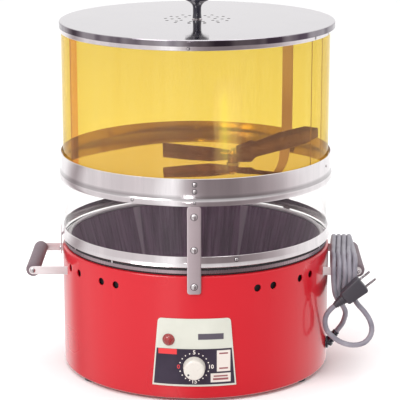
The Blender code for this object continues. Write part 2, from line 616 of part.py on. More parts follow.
def mains_cord():
    """The gland, the cord in its two free stretches and its hank on the right handle,
    and the plug."""
    outward, sleeve_way = towards(GLAND_AZIMUTH), towards(GLAND_AZIMUTH, GLAND_TILT)
    shell_in = BASE_RADIUS - BASE_WALL - 0.0006
    flange_low, flange_top = BASE_RADIUS + GAP + 0.0003, BASE_RADIUS + 0.0035
    neck = 0.006
    gland = turned("cord_gland", [(0, flange_top + 0.002 - shell_in), (0.0075, flange_top + 0.0005 - shell_in),
                                  (0.0085, flange_top - shell_in), (0.0085, flange_low - shell_in),
                                  (neck, flange_low - shell_in), (neck, 0), (0, 0)],
                   BLACK, outward * shell_in + Vector((0, 0, GLAND_HEIGHT)), outward, sides=16)
    root = outward * (flange_top - 0.0005) + Vector((0, 0, GLAND_HEIGHT))
    tip = root + sleeve_way * GLAND_SLEEVE
    sleeve = turned("gland_sleeve", [(0, GLAND_SLEEVE), (CORD_RADIUS + 0.0012, GLAND_SLEEVE),
                                     (0.0068, 0.001), (0.0045, -0.001), (0, -0.001)],
                    None, root, sleeve_way, sides=16)
    joined(gland, "UNION", [sleeve])
    start = tip + sleeve_way * 2 * GAP
    cord("cord_tail_gland", [start, start + sleeve_way * 0.012, (0.2012, -0.0405, 0.0680),
                             (0.2022, -0.0460, 0.0780), (0.1985, -0.0530, 0.0885), (0.1925, -0.0590, 0.0975),
                             (0.1895, -0.0618, 0.1020)])
    width = 2 * CORD_RADIUS * HANK_TURNS
    inner_radius = HANK_END_RADIUS - 2 * CORD_RADIUS
    grip_end = HANDLE_HALF_SPAN - GAP - (HANK_HALF_LENGTH - HANK_END_RADIUS)
    rise = math.sqrt(inner_radius ** 2 - grip_end ** 2)
    middle = HANDLE_HEIGHT + GRIP_RADIUS + 3 * GAP - rise
    inner = racetrack(HANK_HALF_LENGTH - 2 * CORD_RADIUS, inner_radius)
    outer = racetrack(HANK_HALF_LENGTH, HANK_END_RADIUS)
    across = Matrix.Rotation(math.pi / 2, 4, "Z") @ Matrix.Rotation(math.pi / 2, 4, "X")
    centre = (HANK_START + width / 2, 0, middle)
    hank = outline("cord_hank", outer, width, CORD_GREY, centre, across)
    hole = outline("hank_hole", inner, width + 0.01, None, centre, across)
    joined(hank, "DIFFERENCE", [hole])
    plug()


def racetrack(half_length, radius):
    """The outline of a run with round ends."""
    x = half_length - radius
    return arc((x, 0), radius, -90, 90, 10) + arc((-x, 0), radius, 90, 270, 10)


def plug():
    """The plug at the cord's end, with the stretch of cord that leads to it."""
    along = Vector((math.cos(math.radians(PLUG_TILT)), 0, math.sin(math.radians(PLUG_TILT))))
    across = Vector((-along.z, 0, along.x))
    length, width, thick = PLUG_SIZE
    lane = -HANK_HALF_LENGTH - thick / 2 - GAP
    neck_end = Vector((0.1850, lane, 0.0985))
    body_start = neck_end + along * PLUG_NECK
    centre = body_start + along * length / 2
    turn = Matrix((along, across, along.cross(across))).transposed().to_4x4()
    body = block("plug_body", (length, width, thick), BLACK, centre, edge=0.003)
    body.matrix_basis = Matrix.Translation(centre) @ turn
    neck = turned("plug_neck", [(0, PLUG_NECK + 0.004), (0.0075, PLUG_NECK + 0.004),
                                (CORD_RADIUS + 0.001, 0), (0, 0)], None, neck_end, along, sides=16)
    joined(body, "UNION", [neck])
    for i, side in ((1, -1), (2, 1)):
        blade = block(f"plug_prong_{i}", PRONG, STEEL, (0, 0, 0), edge=0.0003)
        place = centre + along * (length / 2 + GAP + PRONG[0] / 2) + across * (side * PRONG_SPACING / 2)
        blade.matrix_basis = Matrix.Translation(place) @ turn @ Matrix.Rotation(math.pi / 2, 4, "X")
    end = neck_end - along * 2 * GAP
    cord("cord_tail_plug", [(0.2120, -0.0640, 0.1020), (0.2165, -0.0700, 0.0965), (0.2245, -0.0745, 0.0890),
                            (0.2315, -0.0780, 0.0790), (0.2350, -0.0800, 0.0670), (0.2325, -0.0810, 0.0555),
                            (0.2240, -0.0815, 0.0468), (0.2100, -0.0815, 0.0440), (0.1940, -0.0815, 0.0482),
                            (0.1808, -0.0812, 0.0577), (0.1748, -0.0808, 0.0657), (0.1725, -0.0805, 0.0763),
                            (0.1748, -0.0804, 0.0869), end - along * 0.004, end])


def main():
    cover_top = base()
    heating(cover_top)
    lower_drum()
    upper_drum()
    stirrer()
    lid()
    controls()
    handles()
    mains_cord()


main()
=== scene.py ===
"""A drum popcorn maker: its finishes, its detailed pieces, and a plain studio round it.

Metres, +Z up, and the front faces -Y. Heights are above the floor, and azimuths are
degrees from the front, positive towards +X, round the drum's own axis."""

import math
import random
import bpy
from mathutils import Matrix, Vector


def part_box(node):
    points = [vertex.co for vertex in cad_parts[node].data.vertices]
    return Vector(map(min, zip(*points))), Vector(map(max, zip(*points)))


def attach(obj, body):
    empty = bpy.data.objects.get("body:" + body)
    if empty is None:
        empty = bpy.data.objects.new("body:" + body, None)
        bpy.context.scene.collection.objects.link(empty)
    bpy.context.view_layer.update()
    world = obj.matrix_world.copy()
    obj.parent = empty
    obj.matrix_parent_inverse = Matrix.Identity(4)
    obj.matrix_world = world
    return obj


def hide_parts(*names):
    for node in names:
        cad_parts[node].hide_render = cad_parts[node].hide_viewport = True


bl_info = {
    "name": "Drum popcorn maker",
    "version": (1, 0, 0),
    "blender": (4, 5, 0),
    "location": "3D View > Sidebar > Popcorn",
    "description": "Finishes and detailed pieces for a drum popcorn maker",
    "category": "Object",
}

import bpy
from bpy.props import FloatProperty, FloatVectorProperty, IntProperty, PointerProperty
from mathutils import Matrix, Vector

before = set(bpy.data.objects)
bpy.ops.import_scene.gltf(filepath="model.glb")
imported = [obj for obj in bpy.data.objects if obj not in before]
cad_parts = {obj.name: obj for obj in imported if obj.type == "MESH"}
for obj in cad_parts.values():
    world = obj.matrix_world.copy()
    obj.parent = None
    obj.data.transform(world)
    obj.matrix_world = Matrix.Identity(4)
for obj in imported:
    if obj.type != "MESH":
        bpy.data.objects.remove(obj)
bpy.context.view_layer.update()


def size_of(node):
    """The lowest corner, the highest corner and the middle of a node's box."""
    low, high = (Vector(corner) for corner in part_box(node))
    return low, high, (low + high) / 2


GAP = 0.0003
AXIS_X, AXIS_Y = 0.0, size_of("lid")[2].y
SHELL_LOW, SHELL_TOP = size_of("base_shell")[0].z, size_of("base_shell")[1].z
SHELL_RADIUS = 0.180
SHEET_RADIUS = size_of("amber_cylinder")[1].x
SHEET_WALL = 0.001
SEAT_TOP = size_of("pan_seat_ring")[1].z
PAN_RIM = size_of("pan")[1].z
PAN_FLOOR = size_of("pan")[0].z + 0.0012
LOWER_LOW, LOWER_TOP = size_of("lower_band")[0].z, size_of("lower_band")[1].z
BAND_LOW, BAND_TOP = size_of("middle_band")[0].z, size_of("middle_band")[1].z
BAND_FLARE_RADIUS = size_of("middle_band")[1].x
FLOOR_TOP = size_of("drum_floor")[1].z
AMBER_LOW, AMBER_TOP = size_of("amber_cylinder")[0].z, size_of("amber_cylinder")[1].z
CLEAR_LOW, CLEAR_TOP = size_of("clear_cylinder")[0].z, size_of("clear_cylinder")[1].z
TOP_BAND_LOW = size_of("top_band")[0].z
LID_SKIRT, LID_TOP = size_of("lid")[0].z, size_of("lid")[1].z
LID_RADIUS = size_of("lid")[1].x
LABEL_LOW, LABEL_HIGH = size_of("label_plate")[0].z, size_of("label_plate")[1].z
LABEL_FACE = 0.1813
HANDLE_HEIGHT = size_of("left_grip")[2].z
HANDLE_REACH = size_of("right_grip")[2].x
TIMER_HEIGHT = size_of("timer_knob")[2].z
LAMP_AZIMUTH, LAMP_HEIGHT = -10.4, 0.084
STIRRER_X, STIRRER_Y = size_of("stirrer_nut")[2].x, size_of("stirrer_nut")[2].y
SPINDLE_TOP = size_of("stirrer_spindle")[1].z
CORD_RADIUS = 0.0035
VENT_AZIMUTHS = (-66.4, -57.6, -42.0, -34.2, 26.6, 34.2, 49.4, 57.0)
VENT_HEIGHT = SHELL_TOP - 0.0206
STRAP_HEIGHTS = tuple(size_of(f"strap_screw_{i}")[2].z for i in (1, 2, 3))
CLIP_AZIMUTHS = (-85, 135)
SEAM_AZIMUTH = 133.5
LID_X = 0.0020             # the lid sits a little to the right of the drum
ROUND = 160               # steps of a full turn on the big rings


# --- directions and places ------------------------------------------------------------

def towards(azimuth, tilt=0.0):
    """The direction that leaves the drum's axis at this azimuth, tilted upwards."""
    turn, rise = math.radians(azimuth), math.radians(tilt)
    return Vector((math.sin(turn) * math.cos(rise), -math.cos(turn) * math.cos(rise),
                   math.sin(rise)))


def on_drum(azimuth, radius, height):
    """A point at this azimuth, distance from the axis and height."""
    return towards(azimuth) * radius + Vector((AXIS_X, AXIS_Y, height))


def arc(centre, radius, start, end, steps=6):
    """Points on an arc of a profile, with angles in degrees."""
    angles = [math.radians(start + (end - start) * i / steps) for i in range(steps + 1)]
    return [(centre[0] + radius * math.cos(a), centre[1] + radius * math.sin(a)) for a in angles]


# --- modelling by hand, in small steps ------------------------------------------------

def alone(piece):
    """Selects this piece and nothing else."""
    if bpy.context.object and bpy.context.object.mode != "OBJECT":
        bpy.ops.object.mode_set(mode="OBJECT")
    bpy.ops.object.select_all(action="DESELECT")
    piece.select_set(True)
    bpy.context.view_layer.objects.active = piece
    return piece


def settle(piece, name=None, smooth=35):
    """Puts the piece's place into its mesh, smooths it and names it."""
    alone(piece)
    bpy.ops.object.transform_apply(location=True, rotation=True, scale=True)
    if smooth:
        bpy.ops.object.shade_smooth_by_angle(angle=math.radians(smooth))
    if name:
        piece.name = piece.data.name = name
    return piece


def place(piece, where, direction=None, spin=0.0):
    """Moves a piece from the origin, its own +Z along direction and turned about it."""
    turn = Vector(direction).to_track_quat("Z", "Y").to_matrix().to_4x4() if direction else Matrix()
    piece.matrix_world = Matrix.Translation(where) @ turn @ Matrix.Rotation(spin, 4, "Z")
    return piece


def apply_all(piece):
    """Applies every modifier of a piece, from the first to the last."""
    alone(piece)
    for step in [m.name for m in piece.modifiers]:
        bpy.ops.object.modifier_apply(modifier=step)
    return piece


def turned(name, profile, steps=ROUND, closed=False, angle=360.0, start=0.0, about=None,
           smooth=35):
    """Spins a profile of (radius, height) about the drum's axis, or about the origin.
    A closed profile makes a ring; an open one starts and ends on the axis."""
    centre = Vector(about if about is not None else (AXIS_X, AXIS_Y, 0))
    way = towards(start)
    spots = [centre + way * r + Vector((0, 0, z)) for r, z in profile]
    bpy.ops.object.select_all(action="DESELECT")
    bpy.ops.mesh.primitive_plane_add(size=0.01, location=(0, 0, 0))
    piece = bpy.context.object
    bpy.ops.object.mode_set(mode="EDIT")
    bpy.ops.mesh.select_all(action="SELECT")
    bpy.ops.mesh.merge(type="CENTER")
    bpy.ops.transform.translate(value=spots[0])
    route = spots + ([spots[0]] if closed else [])
    for a, b in zip(route, route[1:]):
        bpy.ops.mesh.extrude_region_move(TRANSFORM_OT_translate={"value": b - a})
    bpy.ops.mesh.select_all(action="SELECT")
    bpy.ops.mesh.remove_doubles(threshold=0.000001)
    if closed and angle < 360:
        bpy.ops.mesh.edge_face_add()
    bpy.ops.mesh.spin(steps=steps, angle=math.radians(angle), center=centre, axis=(0, 0, 1))
    bpy.ops.mesh.select_all(action="SELECT")
    bpy.ops.mesh.remove_doubles(threshold=0.000005)
    bpy.ops.mesh.normals_make_consistent(inside=False)
    bpy.ops.object.mode_set(mode="OBJECT")
    return settle(piece, name, smooth)


def knob_like(name, profile, where, direction, steps=32, smooth=35, spin=0.0):
    """A turned piece of its own axis, stood at where with its +Z along direction."""
    piece = turned(name, profile, steps=steps, about=(0, 0, 0), smooth=smooth)
    return settle(place(piece, where, direction, spin), name, smooth)


def outlined(name, points, thickness, bevel=0.0, slices=0, holes=()):
    """A flat plate of this outline in its own XZ plane, its back at y = 0 and its face
    towards -y, cut by upright slices so that it can be bent."""
    curve = bpy.data.curves.new(name, "CURVE")
    curve.dimensions, curve.fill_mode = "2D", "BOTH"
    curve.extrude, curve.bevel_depth = thickness / 2 - bevel, bevel
    curve.bevel_resolution, curve.offset = 1, -bevel
    for ring in [points, *holes]:
        spline = curve.splines.new("POLY")
        spline.points.add(len(ring) - 1)
        for knot, (x, y) in zip(spline.points, ring):
            knot.co = (x, y, 0, 1)
        spline.use_cyclic_u = True
    piece = bpy.data.objects.new(name, curve)
    bpy.context.scene.collection.objects.link(piece)
    alone(piece)
    bpy.ops.object.convert(target="MESH")
    bpy.ops.object.mode_set(mode="EDIT")
    bpy.ops.mesh.select_all(action="SELECT")
    bpy.ops.mesh.remove_doubles(threshold=0.000001)
    low = min(x for x, _ in points)
    wide = max(x for x, _ in points) - low
    for i in range(1, slices):
        bpy.ops.mesh.select_all(action="SELECT")
        bpy.ops.mesh.bisect(plane_co=(low + wide * i / slices, 0, 0), plane_no=(1, 0, 0))
    bpy.ops.mesh.select_all(action="SELECT")
    bpy.ops.mesh.normals_make_consistent(inside=False)
    bpy.ops.object.mode_set(mode="OBJECT")
    piece.matrix_world = Matrix.Rotation(math.pi / 2, 4,
                                         "X") @ Matrix.Translation((0, 0, thickness / 2))
    return settle(piece, name)


def wrapped(piece, radius, azimuth):
    """Bends an upright plate round the drum's axis at this radius and azimuth. Its back
    lies on the radius and its own x runs along the arc."""
    turn = math.radians(azimuth)
    for spot in piece.data.vertices:
        along, out, high = spot.co.x / radius + turn, radius - spot.co.y, spot.co.z
        spot.co = (AXIS_X + out * math.sin(along), AXIS_Y - out * math.cos(along), high)
    piece.data.update()
    return settle(piece)


def rounded_box(half_width, half_height, corner, centre=(0, 0)):
    """The outline of a rectangle with round corners, counter-clockwise."""
    x, y = half_width - corner, half_height - corner
    corners = (((x, y), 0), ((-x, y), 90), ((-x, -y), 180), ((x, -y), 270))
    return [(px + centre[0], py + centre[1])
            for middle, start in corners for px, py in arc(middle, corner, start, start + 90, 5)]


def bored(piece, cutters):
    """Cuts holes with other pieces that stand apart, which are then removed."""
    cutter = together("cutter", cutters)
    step = piece.modifiers.new("holes", "BOOLEAN")
    step.operation, step.object, step.solver = "DIFFERENCE", cutter, "EXACT"
    apply_all(piece)
    bpy.data.objects.remove(cutter, do_unlink=True)
    return piece


def drill(radius, depth, where, direction, sides=24):
    """A plain rod that only cuts a hole."""
    bpy.ops.object.select_all(action="DESELECT")
    bpy.ops.mesh.primitive_cylinder_add(vertices=sides, radius=radius, depth=depth)
    return place(bpy.context.object, where, direction)


def together(name, pieces, smooth=None):
    """Joins pieces into one object."""
    alone(pieces[0])
    for other in pieces[1:]:
        other.select_set(True)
    if len(pieces) > 1:
        bpy.ops.object.join()
    pieces[0].name = pieces[0].data.name = name
    if smooth:
        bpy.ops.object.shade_smooth_by_angle(angle=math.radians(smooth))
    return pieces[0]


def finish(piece, material, body="root", node=None, slot=None):
    """Gives a piece its material, hangs it on the body that it rides on and hides the CAD node that
    it stands for.
    """
    piece.data.materials.clear()
    piece.data.materials.append(material)
    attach(piece, body)
    if node:
        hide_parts(*([node] if isinstance(node, str) else node))
    return piece


# --- materials ------------------------------------------------------------------------

class Value:
    """A number or a vector of a material: Python's own signs add its Math nodes."""

    def __init__(self, finish, socket):
        self.finish, self.socket = finish, socket

    def _math(self, operation, a, b=None):
        return self.finish.node("ShaderNodeMath", {"operation": operation}, {0: a, 1: b})

    def __add__(self, other):
        return self._math("ADD", self, other)

    def __radd__(self, other):
        return self._math("ADD", other, self)

    def __sub__(self, other):
        return self._math("SUBTRACT", self, other)

    def __rsub__(self, other):
        return self._math("SUBTRACT", other, self)

    def __mul__(self, other):
        return self._math("MULTIPLY", self, other)

    def __rmul__(self, other):
        return self._math("MULTIPLY", other, self)

    def __truediv__(self, other):
        return self._math("DIVIDE", self, other)

    def __gt__(self, other):
        return self._math("GREATER_THAN", self, other)

    def __lt__(self, other):
        return self._math("LESS_THAN", self, other)

    def size(self):
        return self._math("ABSOLUTE", self)

    def root(self):
        return self._math("SQRT", self)

    def clamped(self):
        return self.finish.node("ShaderNodeClamp", {}, {0: self})


class Finish:
    """A material that is built node by node."""

    def __init__(self, name):
        self.material = bpy.data.materials.new(name)
        self.material.use_nodes = True
        self.tree = self.material.node_tree
        self.shader = self.tree.nodes["Principled BSDF"]
        self.out = self.tree.nodes["Material Output"]

    def node(self, kind, settings=None, values=None, output=0):
        """Adds a node, sets it up, then fills or links its sockets."""
        made = self.tree.nodes.new(kind)
        for key, setting in (settings or {}).items():
            if key == "stops":
                ramp = made.color_ramp
                while len(ramp.elements) < len(setting):
                    ramp.elements.new(0.5)
                for stop, (at, colour) in zip(ramp.elements, setting):
                    stop.position, stop.color = at, (*colour, 1) if len(colour) == 3 else colour
            else:
                setattr(made, key, setting)
        for key, value in (values or {}).items():
            if value is not None:
                self.fill(made.inputs[key], value)
        return Value(self, made.outputs[output])

    def fill(self, socket, value):
        if isinstance(value, Value):
            self.tree.links.new(value.socket, socket)
        elif isinstance(value, (tuple, list)) and len(value) == 3 and socket.type == "RGBA":
            socket.default_value = (*value, 1)
        else:
            socket.default_value = value

    def set(self, **values):
        """Fills the sockets of the main shader; an underscore stands for a space."""
        for key, value in values.items():
            self.fill(self.shader.inputs[key.replace("_", " ")], value)
        return self

    def place(self):
        """Where a point lies on the object."""
        return self.node("ShaderNodeTexCoord", {}, {}, "Object")

    def parts(self, vector):
        """The x, y and z of a vector."""
        split = self.node("ShaderNodeSeparateXYZ", {}, {0: vector})
        outs = split.socket.node.outputs
        return [Value(self, outs[i]) for i in range(3)]

    def joined(self, x, y, z):
        return self.node("ShaderNodeCombineXYZ", {}, {0: x, 1: y, 2: z})

    def noise(self, vector, scale, detail=3.0, rough=0.5, distortion=0.0):
        return self.node("ShaderNodeTexNoise", {"noise_dimensions": "3D"},
                         {"Vector": vector, "Scale": scale, "Detail": detail,
                          "Roughness": rough, "Distortion": distortion})

    def spread(self, value, low, high, to_low=0.0, to_high=1.0):
        """Maps a value from one range to another, held at both ends."""
        return self.node("ShaderNodeMapRange", {},
                         {0: value, 1: low, 2: high, 3: to_low, 4: to_high})

    def mix(self, factor, a, b):
        """A blend of two colours."""
        return self.node("ShaderNodeMix", {"data_type": "RGBA"}, {0: factor, 6: a, 7: b}, 2)

    def bump(self, height, strength, distance=0.0005, normal=None):
        return self.node("ShaderNodeBump", {}, {"Strength": strength, "Distance": distance,
                                                "Height": height, "Normal": normal})

    def around(self, upright=0.15, grain=1.0):
        """A place that changes quickly round the drum and slowly up it, with no seam."""
        x, y, z = self.parts(self.place())
        y = y - AXIS_Y
        reach = (x * x + y * y).root() + 0.0001
        return self.joined(x / reach * grain, y / reach * grain, z * upright)

    def up_drum(self, upright=1.0, grain=0.02):
        """A place that changes quickly up the drum and slowly round it."""
        x, y, z = self.parts(self.place())
        return self.joined(x * grain, y * grain, z * upright)


def mixed_shader(made, factor, first, second):
    """Shows the second shader where the factor is 1 and the first where it is 0."""
    blend = made.node("ShaderNodeMixShader", {}, {0: factor, 1: first, 2: second})
    made.tree.links.new(blend.socket, made.out.inputs["Surface"])


def steel(name, colour, roughness, streaks=0.10, brushed="around", wear=0.06, inside=0.0,
          foot=None, metal=1.0, split=0.0):
    """Bare steel with fine brush marks, faint rolled streaks and small handling marks. A dark
    reflection is painted on it inside this radius, and another along a foot of (height, depth)."""
    f = Finish(name)
    way = f.around(0.15, 1.0) if brushed == "around" else f.up_drum()
    fine = f.noise(way, 260.0 if brushed == "around" else 900.0, 3.0, 0.6)
    broad = f.noise(way, 9.0 if brushed == "around" else 60.0, 2.0, 0.5)
    marks = f.noise(f.place(), 45.0, 4.0, 0.62)
    dulled = f.spread(marks, 0.58, 0.78) * wear
    tone = f.spread(broad, 0.3, 0.7, 1 - streaks, 1.0) - f.spread(fine, 0.3, 0.7, 0, streaks * 0.5)
    dark = tuple(c * 0.55 for c in colour)
    shade = f.mix((tone - dulled).clamped(), dark, colour)
    if inside:
        # painted reflection: the inner face is darkened as if it mirrored the dark pan, fading
        # towards the sides
        x, y, z = f.parts(f.place())
        reach = (x * x + (y - AXIS_Y) * (y - AXIS_Y)).root()
        painted_dark_reflection = f.mix(z < split, (0.17, 0.095, 0.135), (0.36, 0.24, 0.27))
        sides = f.spread(x.size(), 0.115, 0.155, 1.0, 0.15)
        shade = f.mix((reach < inside) * sides, shade, painted_dark_reflection)
    if foot:
        # painted reflection: a dark strip along the band's foot, above its lowest height
        height = f.parts(f.place())[2]
        low = f.spread(height, foot[0] + foot[1] * 0.8, foot[0] + foot[1] * 1.6, 0.55, 0.0)
        shade = f.mix(low * (height > foot[0]), shade, tuple(c * 0.30 for c in colour))
    f.set(Base_Color=shade,
          Roughness=f.spread(fine, 0.25, 0.75, roughness - 0.05, roughness + 0.07) + dulled,
          Metallic=metal, Normal=f.bump(fine, 0.06, 0.0003))
    return f.material


def mirror(name, colour, roughness, centre, edge=0.0):
    """Polished plate with faint turned rings, wipe marks and a softly uneven surface. Below this
    edge height it has dark reflections painted in patches."""
    f = Finish(name)
    x, y, z = f.parts(f.place())
    x, y = x - centre[0], y - centre[1]
    reach = (x * x + y * y).root()
    turns = f.noise(f.joined(reach, 0.0, 0.0), 420.0, 3.0, 0.6)
    wipes = f.noise(f.place(), 14.0, 4.0, 0.55, 0.6)
    waves = f.noise(f.place(), 9.0, 1.0, 0.4)
    tone = 1 - f.spread(turns, 0.35, 0.75, 0, 0.05) - f.spread(wipes, 0.5, 0.8, 0, 0.05)
    shade = f.mix(tone, tuple(c * 0.5 for c in colour), colour)
    if edge:
        # painted reflection: dark patches round the rim below the edge height
        patches = f.noise(f.around(0.0, 1.0), 4.5, 2.0, 0.5)
        dark_reflection_mask = f.spread(patches, 0.44, 0.60, 0.40, 1.0) * (z < edge)
        shade = f.mix(dark_reflection_mask, shade, (0.105, 0.080, 0.110))
    f.set(Base_Color=shade, Roughness=roughness + f.spread(wipes, 0.45, 0.8, 0, 0.06),
          Metallic=1.0, Normal=f.bump(waves, 0.05, 0.004))
    return f.material


def enamel(name, colour):
    """Glossy stove enamel: a little mottled in depth, with orange-peel in its gloss."""
    f = Finish(name)
    deep = f.noise(f.place(), 7.0, 2.0, 0.5)
    peel = f.noise(f.place(), 520.0, 2.0, 0.5)
    specks = f.noise(f.place(), 900.0, 1.0, 0.5)
    _, _, z = f.parts(f.place())
    # darker over the lowest 6 mm of the shell, towards its bottom edge
    darker_low_edge = f.spread(z, SHELL_LOW, SHELL_LOW + 0.006, 0.25, 0.0)
    tone = f.spread(deep, 0.3, 0.7, 0.90, 1.0) - f.spread(specks, 0.72, 0.8, 0, 0.10) - darker_low_edge
    dark = (colour[0] * 0.55, colour[1] * 0.5, colour[2] * 0.6)
    f.set(Base_Color=f.mix(tone.clamped(), dark, colour),
          Roughness=f.spread(deep, 0.3, 0.7, 0.26, 0.34), Coat_Weight=0.60, Coat_Roughness=0.05,
          Specular_IOR_Level=0.30,
          Normal=f.bump(peel, 0.035, 0.0004))
    return f.material


def sheet(name, through, body, gloss, lines, veil, dust, painted_glare=None):
    """Plastic sheet: light comes through in its own tint, a faint veil of scattered light lies on
    it, and its face shines most where it is seen at a slant. A painted glare is a pale patch that
    stands in for a highlight, given as (x of its middle, half its width, lowest and highest height,
    strength, colour). Each tint is constant and only the factors between them change over the
    sheet."""
    f = Finish(name)

    def plain(kind, colour):
        return f.node(kind, {}, {"Color": colour})

    def blended(factor, first, second):
        return f.node("ShaderNodeMixShader", {}, {0: factor, 1: first, 2: second})

    streaks = f.noise(f.around(0.05, 1.0), 11.0, 2.0, 0.45)
    haze = f.noise(f.around(0.4, 1.0), 60.0, 3.0, 0.55)
    scratches = f.noise(f.up_drum(1.0, 0.06), 420.0, 2.0, 0.6)
    tone = f.spread(streaks, 0.35, 0.65) * 0.5 + f.spread(haze, 0.3, 0.7) * 0.5
    deeper = tuple(c ** (1 + lines) for c in through)
    tint = blended(tone, plain("ShaderNodeBsdfTransparent", deeper),
                   plain("ShaderNodeBsdfTransparent", through))
    fog, scatter = veil, plain("ShaderNodeBsdfDiffuse", dust)
    if painted_glare:
        # painted glare: a pale upright patch on the sheet's front that stands in for a highlight
        x, y, z = f.parts(f.place())
        middle, half, low, high, strength, pale = painted_glare
        wobble = (streaks - 0.5) * 0.03 + (haze - 0.5) * 0.02
        across = f.spread((x - middle + wobble).size(), 0.0, half, 1.0, 0.0)
        upright = f.spread(z, low, low + 0.05) * f.spread(z, high - 0.035, high, 1.0, 0.0)
        patch = across * upright * (y < AXIS_Y)
        fog = patch * strength + veil
        scatter = blended(patch, scatter, plain("ShaderNodeBsdfDiffuse", pale))
    f.set(Base_Color=f.mix(tone, tuple(c * 0.8 for c in body), body),
          Roughness=0.05 + f.spread(scratches, 0.55, 0.8) * 0.10, Metallic=1.0)
    slant = f.node("ShaderNodeLayerWeight", {}, {"Blend": 0.5}, "Facing")
    steep = slant * slant
    shine = steep * steep * slant * 0.92 + 0.035
    outside = 1 - f.node("ShaderNodeNewGeometry", {}, {}, "Backfacing")
    cover = (outside * (shine * gloss + f.spread(scratches, 0.6, 0.85) * 0.012)).clamped()
    mixed_shader(f, cover, blended(fog, tint, scatter), Value(f, f.shader.outputs[0]))
    return f.material


def moulded(name, colour, roughness, grain=700.0, depth=0.05, coat=0.0, patch=0.10):
    """Moulded plastic or rubber with a fine skin and slightly uneven colour."""
    f = Finish(name)
    skin = f.noise(f.place(), grain, 2.0, 0.5)
    patches = f.noise(f.place(), 70.0, 3.0, 0.5)
    rubbed = f.noise(f.place(), 220.0, 3.0, 0.6)
    tone = 1 - f.spread(patches, 0.3, 0.7, 0, patch) - f.spread(skin, 0.6, 0.8, 0, patch)
    f.set(Base_Color=f.mix(tone.clamped(), tuple(c * 0.5 for c in colour), colour),
          Roughness=f.spread(rubbed, 0.3, 0.7, roughness - 0.05, roughness + 0.06),
          Coat_Weight=coat, Normal=f.bump(skin, depth, 0.0004))
    return f.material


def pan_coating(name):
    """A dark fired coating with upright streaks, a little lighter towards the rim, and two pale
    bands at fixed azimuths that are painted reflections.
    """
    f = Finish(name)
    streaks = f.noise(f.around(0.35, 1.0), 34.0, 4.0, 0.62)
    fine = f.noise(f.around(0.8, 1.0), 150.0, 3.0, 0.6)
    x, y, z = f.parts(f.place())
    height = f.spread(z, PAN_FLOOR, PAN_RIM)
    tone = (f.spread(streaks, 0.34, 0.66) * 0.7 + f.spread(fine, 0.3, 0.7) * 0.2 + height * 0.1)
    shade = f.node("ShaderNodeValToRGB", {"stops": [
        (0.0, (0.105, 0.045, 0.098)), (0.5, (0.205, 0.105, 0.190)), (1.0, (0.34, 0.20, 0.32))]},
        {0: tone})
    # painted reflections: two pale upright bands at fixed azimuths (-149 and 156 degrees)
    turn = f.node("ShaderNodeMath", {"operation": "ARCTAN2"}, {0: x, 1: AXIS_Y - y})
    for azimuth in (-149, 156):
        away = (turn - math.radians(azimuth)).size() - height * 0.03
        shade = f.mix(f.spread(away, 0.000, 0.012, 0.4, 0.0), shade, (0.80, 0.68, 0.78))
    f.set(Base_Color=shade,
          Roughness=f.spread(fine, 0.3, 0.7, 0.42, 0.55), Metallic=0.0, Specular_IOR_Level=0.25,
          Normal=f.bump(fine, 0.08, 0.0004))
    return f.material


def bright_rim(name):
    """The pan's bare rolled rim, silky, its near-white colour partly a painted highlight."""
    f = Finish(name)
    rub = f.noise(f.around(0.3, 1.0), 120.0, 3.0, 0.6)
    f.set(Base_Color=f.mix(f.spread(rub, 0.3, 0.7), (0.84, 0.81, 0.83), (0.97, 0.96, 0.965)),
          Roughness=f.spread(rub, 0.3, 0.7, 0.32, 0.45), Metallic=0.25,
          Normal=f.bump(rub, 0.05, 0.0003))
    return f.material


def lamp_glass(name):
    """Dark red moulded lens with a finely broken surface."""
    f = Finish(name)
    cells = f.noise(f.place(), 420.0, 2.0, 0.5)
    f.set(Base_Color=f.mix(f.spread(cells, 0.3, 0.7), (0.19, 0.012, 0.014), (0.36, 0.035, 0.033)),
          Roughness=0.12, Coat_Weight=0.8, Normal=f.bump(cells, 0.10, 0.0004))
    return f.material


